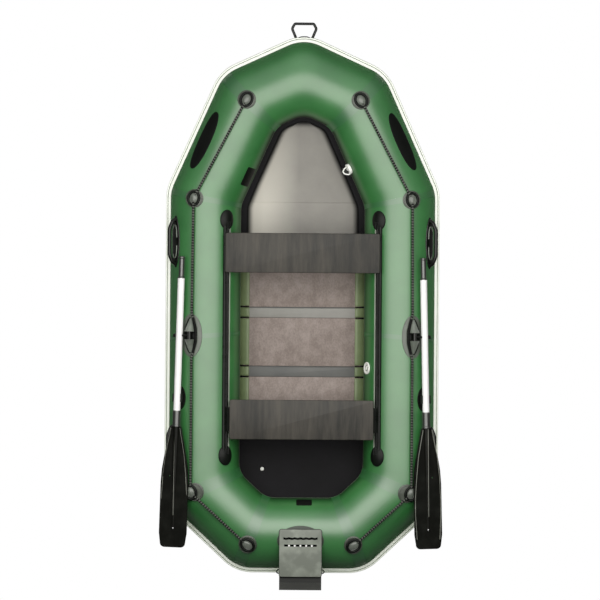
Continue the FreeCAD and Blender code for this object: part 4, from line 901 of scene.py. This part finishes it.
# inflation valves: a flat cap with a grip bar; the bow one stands further out, and its strap's loop
# lies beside it, with points in plan from the valve
valves = {"bow": {"spot": bowBack + bowHeading * 234 - bowSide * 161.6, "wide": 25, "proud": 8,
                  "ahead": 5, "grip": [(-11, -3), (11, 13)]},
          "aft": {"spot": Vector((317, -300, 0)), "wide": 30, "proud": 0, "ahead": 0,
                  "grip": [(-11, -8), (11, 8)]},
          "loop": [(-10, 14), (-28, 4), (-37, -12), (-28, -22), (-8, -26), (4, -18)],
          "gripRadius": 2.4, "loopRadius": 3.4}
capShapes, holeShapes = [], []
for name in ("bow", "aft"):
    valve = valves[name]
    place = onTube(valve["spot"].x, valve["spot"].y)
    middle = place @ Matrix.Translation((0, valve["ahead"], 0))
    wide, proud = valve["wide"], valve["proud"]
    capShapes.append(turnedShape(middle, [(wide, 0.4), (wide, proud + 4.0), (wide - 1.6, proud + 5.6),
                                          (wide - 5, proud + 6.2), (wide - 6.5, proud + 4.8),
                                          (9, proud + 4.8), (8, proud + 6.6), (0, proud + 7.0)], 60))
    grip = [place @ Vector((x, y, proud + 6.6)) for x, y in valve["grip"]]
    capShapes.append(barShape(roundedLine(grip, []), valves["gripRadius"], 10))
    # painted shade: black rings in the caps and a black sheet inside the strap's loop stand for dark
    # holes
    holeShapes.append(turnedShape(middle, [(13.5, proud + 4.6), (13.5, proud + 5.1), (11.8, proud + 5.1),
                                           (11.8, proud + 4.6)], 40))
    if name == "bow":
        loop = roundedLine([place.translation + Vector((x, y, 2)) for x, y in valves["loop"]],
                           [10, 10, 8, 10], 2)
        holeShapes.append(skinOver([[(p.x, p.y, p.z + rise) for p in loop] for rise in (-1.5, 0.5)]))
        capShapes.append(barShape(loop, valves["loopRadius"], 10))
caps = addPiece("inflationValves", capShapes, "whiteValveAbs", sharp=45)
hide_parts("valves")
addPiece("valveHoles", holeShapes, "matBlackNylon", sharp=45)
print("valves made")


# oar blades: the solid's mesh with a broader tip, and pale bars along its edges and spine as painted
# highlights; the crests' points are across and down from the blade's throat, and up from its face
blades = {"widenFrom": 0.62, "widenBy": 0.20, "crestRadius": 2.1, "crestBend": 260,
          "crests": [[(23, 8, 8.2), (49, 138, 8.2), (60, 240, 8.0), (66, 330, 4.0), (67, 420, 3.6),
                      (60, 540, 3.4)],
                     [(-23, 8, 8.2), (-49, 138, 8.2), (-60, 240, 8.0), (-65, 330, 4.0), (-66, 420, 3.6),
                      (-59, 540, 3.4)],
                     [(0, 4, 17.0), (0, 250, 12.6), (0, 430, 9.4)]]}
for side, sign in sides.items():
    node = nodes["oar_blade_" + side]
    spots = np.array([tuple(node.matrix_world @ vertex.co) for vertex in node.data.vertices]) / mm
    centre = spots.mean(0)
    axes = np.linalg.svd(spots - centre, full_matrices=False)[2]
    down = axes[0] * (-1 if axes[0][1] > 0 else 1)
    face = axes[2] * (-1 if axes[2][2] < 0 else 1)
    across = np.cross(down, face)
    across *= -1 if across[0] * sign > 0 else 1
    local = np.stack([(spots - centre) @ across, (spots - centre) @ down, (spots - centre) @ face], 1)
    start, tip = local[:, 1].min(), local[:, 1].max()
    middle = (local[:, 0].min() + local[:, 0].max()) / 2
    share = np.clip(((local[:, 1] - start) / (tip - start) - blades["widenFrom"])
                    / (1 - blades["widenFrom"]), 0, 1)
    local[:, 0] = middle + (local[:, 0] - middle) * (1 + blades["widenBy"] * share * share)
    wide = centre + local[:, :1] * across + local[:, 1:2] * down + local[:, 2:] * face
    faces = [tuple(item.vertices) for item in node.data.polygons]
    blade = addPiece("oarBlade" + side.capitalize(), (wide, faces), "blackBladeNylon",
                     "oar_" + side, 30)
    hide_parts("oar_blade_" + side)
    top = float(np.median(local[:, 2]))
    crests = []
    for line in blades["crests"]:
        path = [Vector(centre + across * (middle + u) + down * (start + v) + face * (top + n))
                for u, v, n in line]
        path = roundedLine(path, [blades["crestBend"]] * 4, 6)
        crests.append(barShape(path, blades["crestRadius"], 8))
    # painted highlight: pale bars on the blade's crests
    addPiece("bladeCrestHighlights" + side.capitalize(), crests, "crestHighlightNylon",
             "oar_" + side)
print("blades made")


# side handles: a lens of a foot with a dished middle, and a bowed strap held off it; pale arcs at the
# foot's ends are painted highlights
handle = {"ys": (307, -691), "roll": 57, "length": 250, "width": 62, "thick": 5.0, "barRadius": 9.0,
          "highlightRadius": 2.6,
          "bar": [(2, -109, 2), (2, -97, 20), (2, -62, 36.5), (2, 62, 36.5), (2, 97, 20), (2, 109, 2)],
          "lipAndHighlight": [(14, 60, 8.6), (2, 80, 9.4), (-12, 78, 9.4), (-18, 56, 8.6), (-19, 20, 8.0)]}
feet, lipsAndHighlights = [], []
for y in handle["ys"]:
    place = overside(handle["roll"], y)
    feet.append(padShape(place, handle["length"], handle["width"], handle["thick"], 1.75, 72, 1.5, 2.4))
    bar = roundedLine([place @ Vector(spot) for spot in handle["bar"]], [14, 60, 60, 14], 4)
    feet.append(barShape(bar, handle["barRadius"], 14))
    # painted highlight: pale arcs at both ends of each foot
    for turn in (1, -1):
        lipAndHighlight = [place @ Vector((u, v * turn, n)) for u, v, n in handle["lipAndHighlight"]]
        lipsAndHighlights.append(barShape(roundedLine(lipAndHighlight, [12, 10, 30], 3), handle["highlightRadius"], 10))
bothSides("sideHandles", feet, "blackNylon", replaced="grab_handles")
bothSides("sideHandleHighlights", lipsAndHighlights, "paleHighlightNylon")
print("side handles made")


# motor mount: plate face with small corners, a wavy slot and a row of short ones, rivets
plate = {"top": 2 * tube + 11.3, "front": -1082, "back": -1311, "half": 102, "thick": 3.2, "corner": 11,
         "edgeShadeOut": 0.75, "rimRadius": 1.7, "pitch": 27.6, "waveBack": 44.5, "rowBack": 77.5,
         "waveHalf": 83, "slotLength": 20.5, "slotWidth": 10.2, "slotCorner": 2.8,
         "rivet": [(4.6, 0), (4.6, 0.9), (3.2, 1.6), (0, 1.8)]}
length = plate["front"] - plate["back"]
place = Matrix.Translation((0, (plate["front"] + plate["back"]) / 2, plate["top"] - 2.4))
addPiece("plateFace", boardShape(place, 2 * plate["half"], length, plate["thick"], plate["corner"], 1.6),
         "greyPaintedSteel", sharp=50)
# painted shade: a thin black bar round the plate's edge
outline = oblong(2 * (plate["half"] + plate["edgeShadeOut"]), length + 2 * plate["edgeShadeOut"],
                 plate["corner"] + 1)
rim = [place @ Vector((x, y, -1.4)) for x, y in outline + outline[:1]]
addPiece("plateEdgeShade", barShape(rim, plate["rimRadius"], 8), "matBlackNylon")
rowFront, rowBack = plate["front"] - plate["waveBack"], plate["front"] - plate["rowBack"]
outlines = [[(x, rowFront + off + wave * math.cos(2 * math.pi * x / plate["pitch"]))
             for x in np.linspace(turn * plate["waveHalf"], -turn * plate["waveHalf"], 73)]
            for turn, off, wave in ((-1, 5.6, 1.5), (1, -4.8, 1.1))]
outlines = [outlines[0] + outlines[1]]
for k in range(6):
    slot = oblong(plate["slotLength"], plate["slotWidth"], plate["slotCorner"])
    outlines.append([(x + plate["pitch"] * (k - 2.5), y + rowBack) for x, y in slot])
# painted shade: the slots are thin black sheets on the plate, dark as the holes would be
slots = [skinOver([[(x, y, plate["top"] + rise) for x, y in outline] for rise in (0.6, 1.0)])
         for outline in outlines]
addPiece("plateSlots", slots, "darkSlotShade", sharp=50)
rivets = [turnedShape(Matrix.Translation((plate["pitch"] * (k - 2), rowBack - 1.5, plate["top"] + 0.8)),
                      plate["rivet"], 20) for k in range(5)]
addPiece("plateRivets", rivets, "whitePowderCoat")

# strap ends at the board's sides, pads under the feet, and the small boss at the bow
strap = {"line": [(-6, -1276, 236), (8, -1279, 240), (15, -1288, 236), (9, -1296, 228),
                  (-6, -1299, 224)], "radius": 2.6}
footPad = {"x": 61, "rise": 66, "length": 74, "width": 62, "thick": 2.2}
boss = {"line": [(-27, 1302, 184), (-14, 1308, 187), (14, 1308, 187), (27, 1302, 184)], "radius": 2.0}
straps, pads = [], []
for sign in (1, -1):
    line = [(sign * (plate["half"] + x), y, z) for x, y, z in strap["line"]]
    straps.append(barShape(roundedLine(line, [7, 7, 6], 2.0), strap["radius"], 10))
addPiece("mountStraps", straps, "braidedBlackRope")
lean = math.acos(footPad["rise"] / tube)
normal = Vector((0, -math.sin(lean), math.cos(lean)))
for sign in (-1, 1):
    spot = Vector((sign * footPad["x"], sternY, axisRise)) + normal * tube
    pads.append(padShape(frameOf(spot, (1, 0, 0), normal), footPad["length"], footPad["width"],
                         footPad["thick"], 2.4, 56, rim=1.2))
addPiece("motorFootPads", pads, "blackPatchPvc")
line = [tuple(point) for point in lifted(boss["line"])]
addPiece("bowBoss", barShape(roundedLine(line, [24, 24], 3), boss["radius"], 10), "blackNylon")
print("mount made")


# studio: a wide softbox above the bow half, a glow high beyond the bow, a floor that looks white
studio = {"softboxRise": 3.3, "softboxY": 0.38, "softboxWidth": 5.0, "softboxLength": 2.9,
          "softboxLevel": 2.7, "softboxColour": (1.0, 0.985, 0.94), "surround": 0.10, "bowGlow": 0.75,
          "floorHalf": 15}
lamp = bpy.data.lights.new("softbox", "AREA")
lamp.shape = "RECTANGLE"
lamp.size, lamp.size_y = studio["softboxWidth"], studio["softboxLength"]
lamp.color = studio["softboxColour"]
lamp.energy = studio["softboxLevel"] * math.pi * lamp.size * lamp.size_y
softbox = bpy.data.objects.new("softbox", lamp)
softbox.location = (0, studio["softboxY"], studio["softboxRise"])
softbox.visible_camera = False
bpy.context.scene.collection.objects.link(softbox)

world = bpy.data.worlds.new("studioWorld")
bpy.context.scene.world = world
world.use_nodes = True
tree = world.node_tree
background = tree.nodes["Background"]
seen = addNode(tree, "LightPath").outputs["Is Camera Ray"]
skyward = addNode(tree, "TexCoord").outputs["Generated"]
heading = addNode(tree, "SeparateXYZ", i0=skyward)
high = addNode(tree, "Math", {"operation": "MULTIPLY"}, i0=heading.outputs[1], i1=heading.outputs[2])
glow = addNode(tree, "MapRange", i0=high, i1=0.0, i2=0.5, i3=studio["surround"],
               i4=studio["surround"] + studio["bowGlow"])
level = addNode(tree, "Mix", {"data_type": "FLOAT"}, i0=seen, i2=glow, i3=1.0)
tree.links.new(level.outputs[0], background.inputs["Strength"])
background.inputs["Color"].default_value = (1, 1, 1, 1)

# the floor is white to the camera and grey to the reflections
tree = newMaterial("greyStudioFloor", "#606060", 0.9)
seen = addNode(tree, "LightPath").outputs["Is Camera Ray"]
white = addNode(tree, "Emission", Strength=1.0)
blend = addNode(tree, "MixShader", i0=seen, i1=tree.nodes["Principled BSDF"], i2=white)
tree.links.new(blend.outputs[0], tree.nodes["Material Output"].inputs["Surface"])
far = studio["floorHalf"]
floorMesh = bpy.data.meshes.new("studioFloor")
floorMesh.from_pydata([(-far, -far, 0), (far, -far, 0), (far, far, 0), (-far, far, 0)], [],
                      [(0, 1, 2, 3)])
floorMesh.materials.append(materials["greyStudioFloor"])
studioFloor = bpy.data.objects.new("studioFloor", floorMesh)
bpy.context.scene.collection.objects.link(studioFloor)
print("studio made")
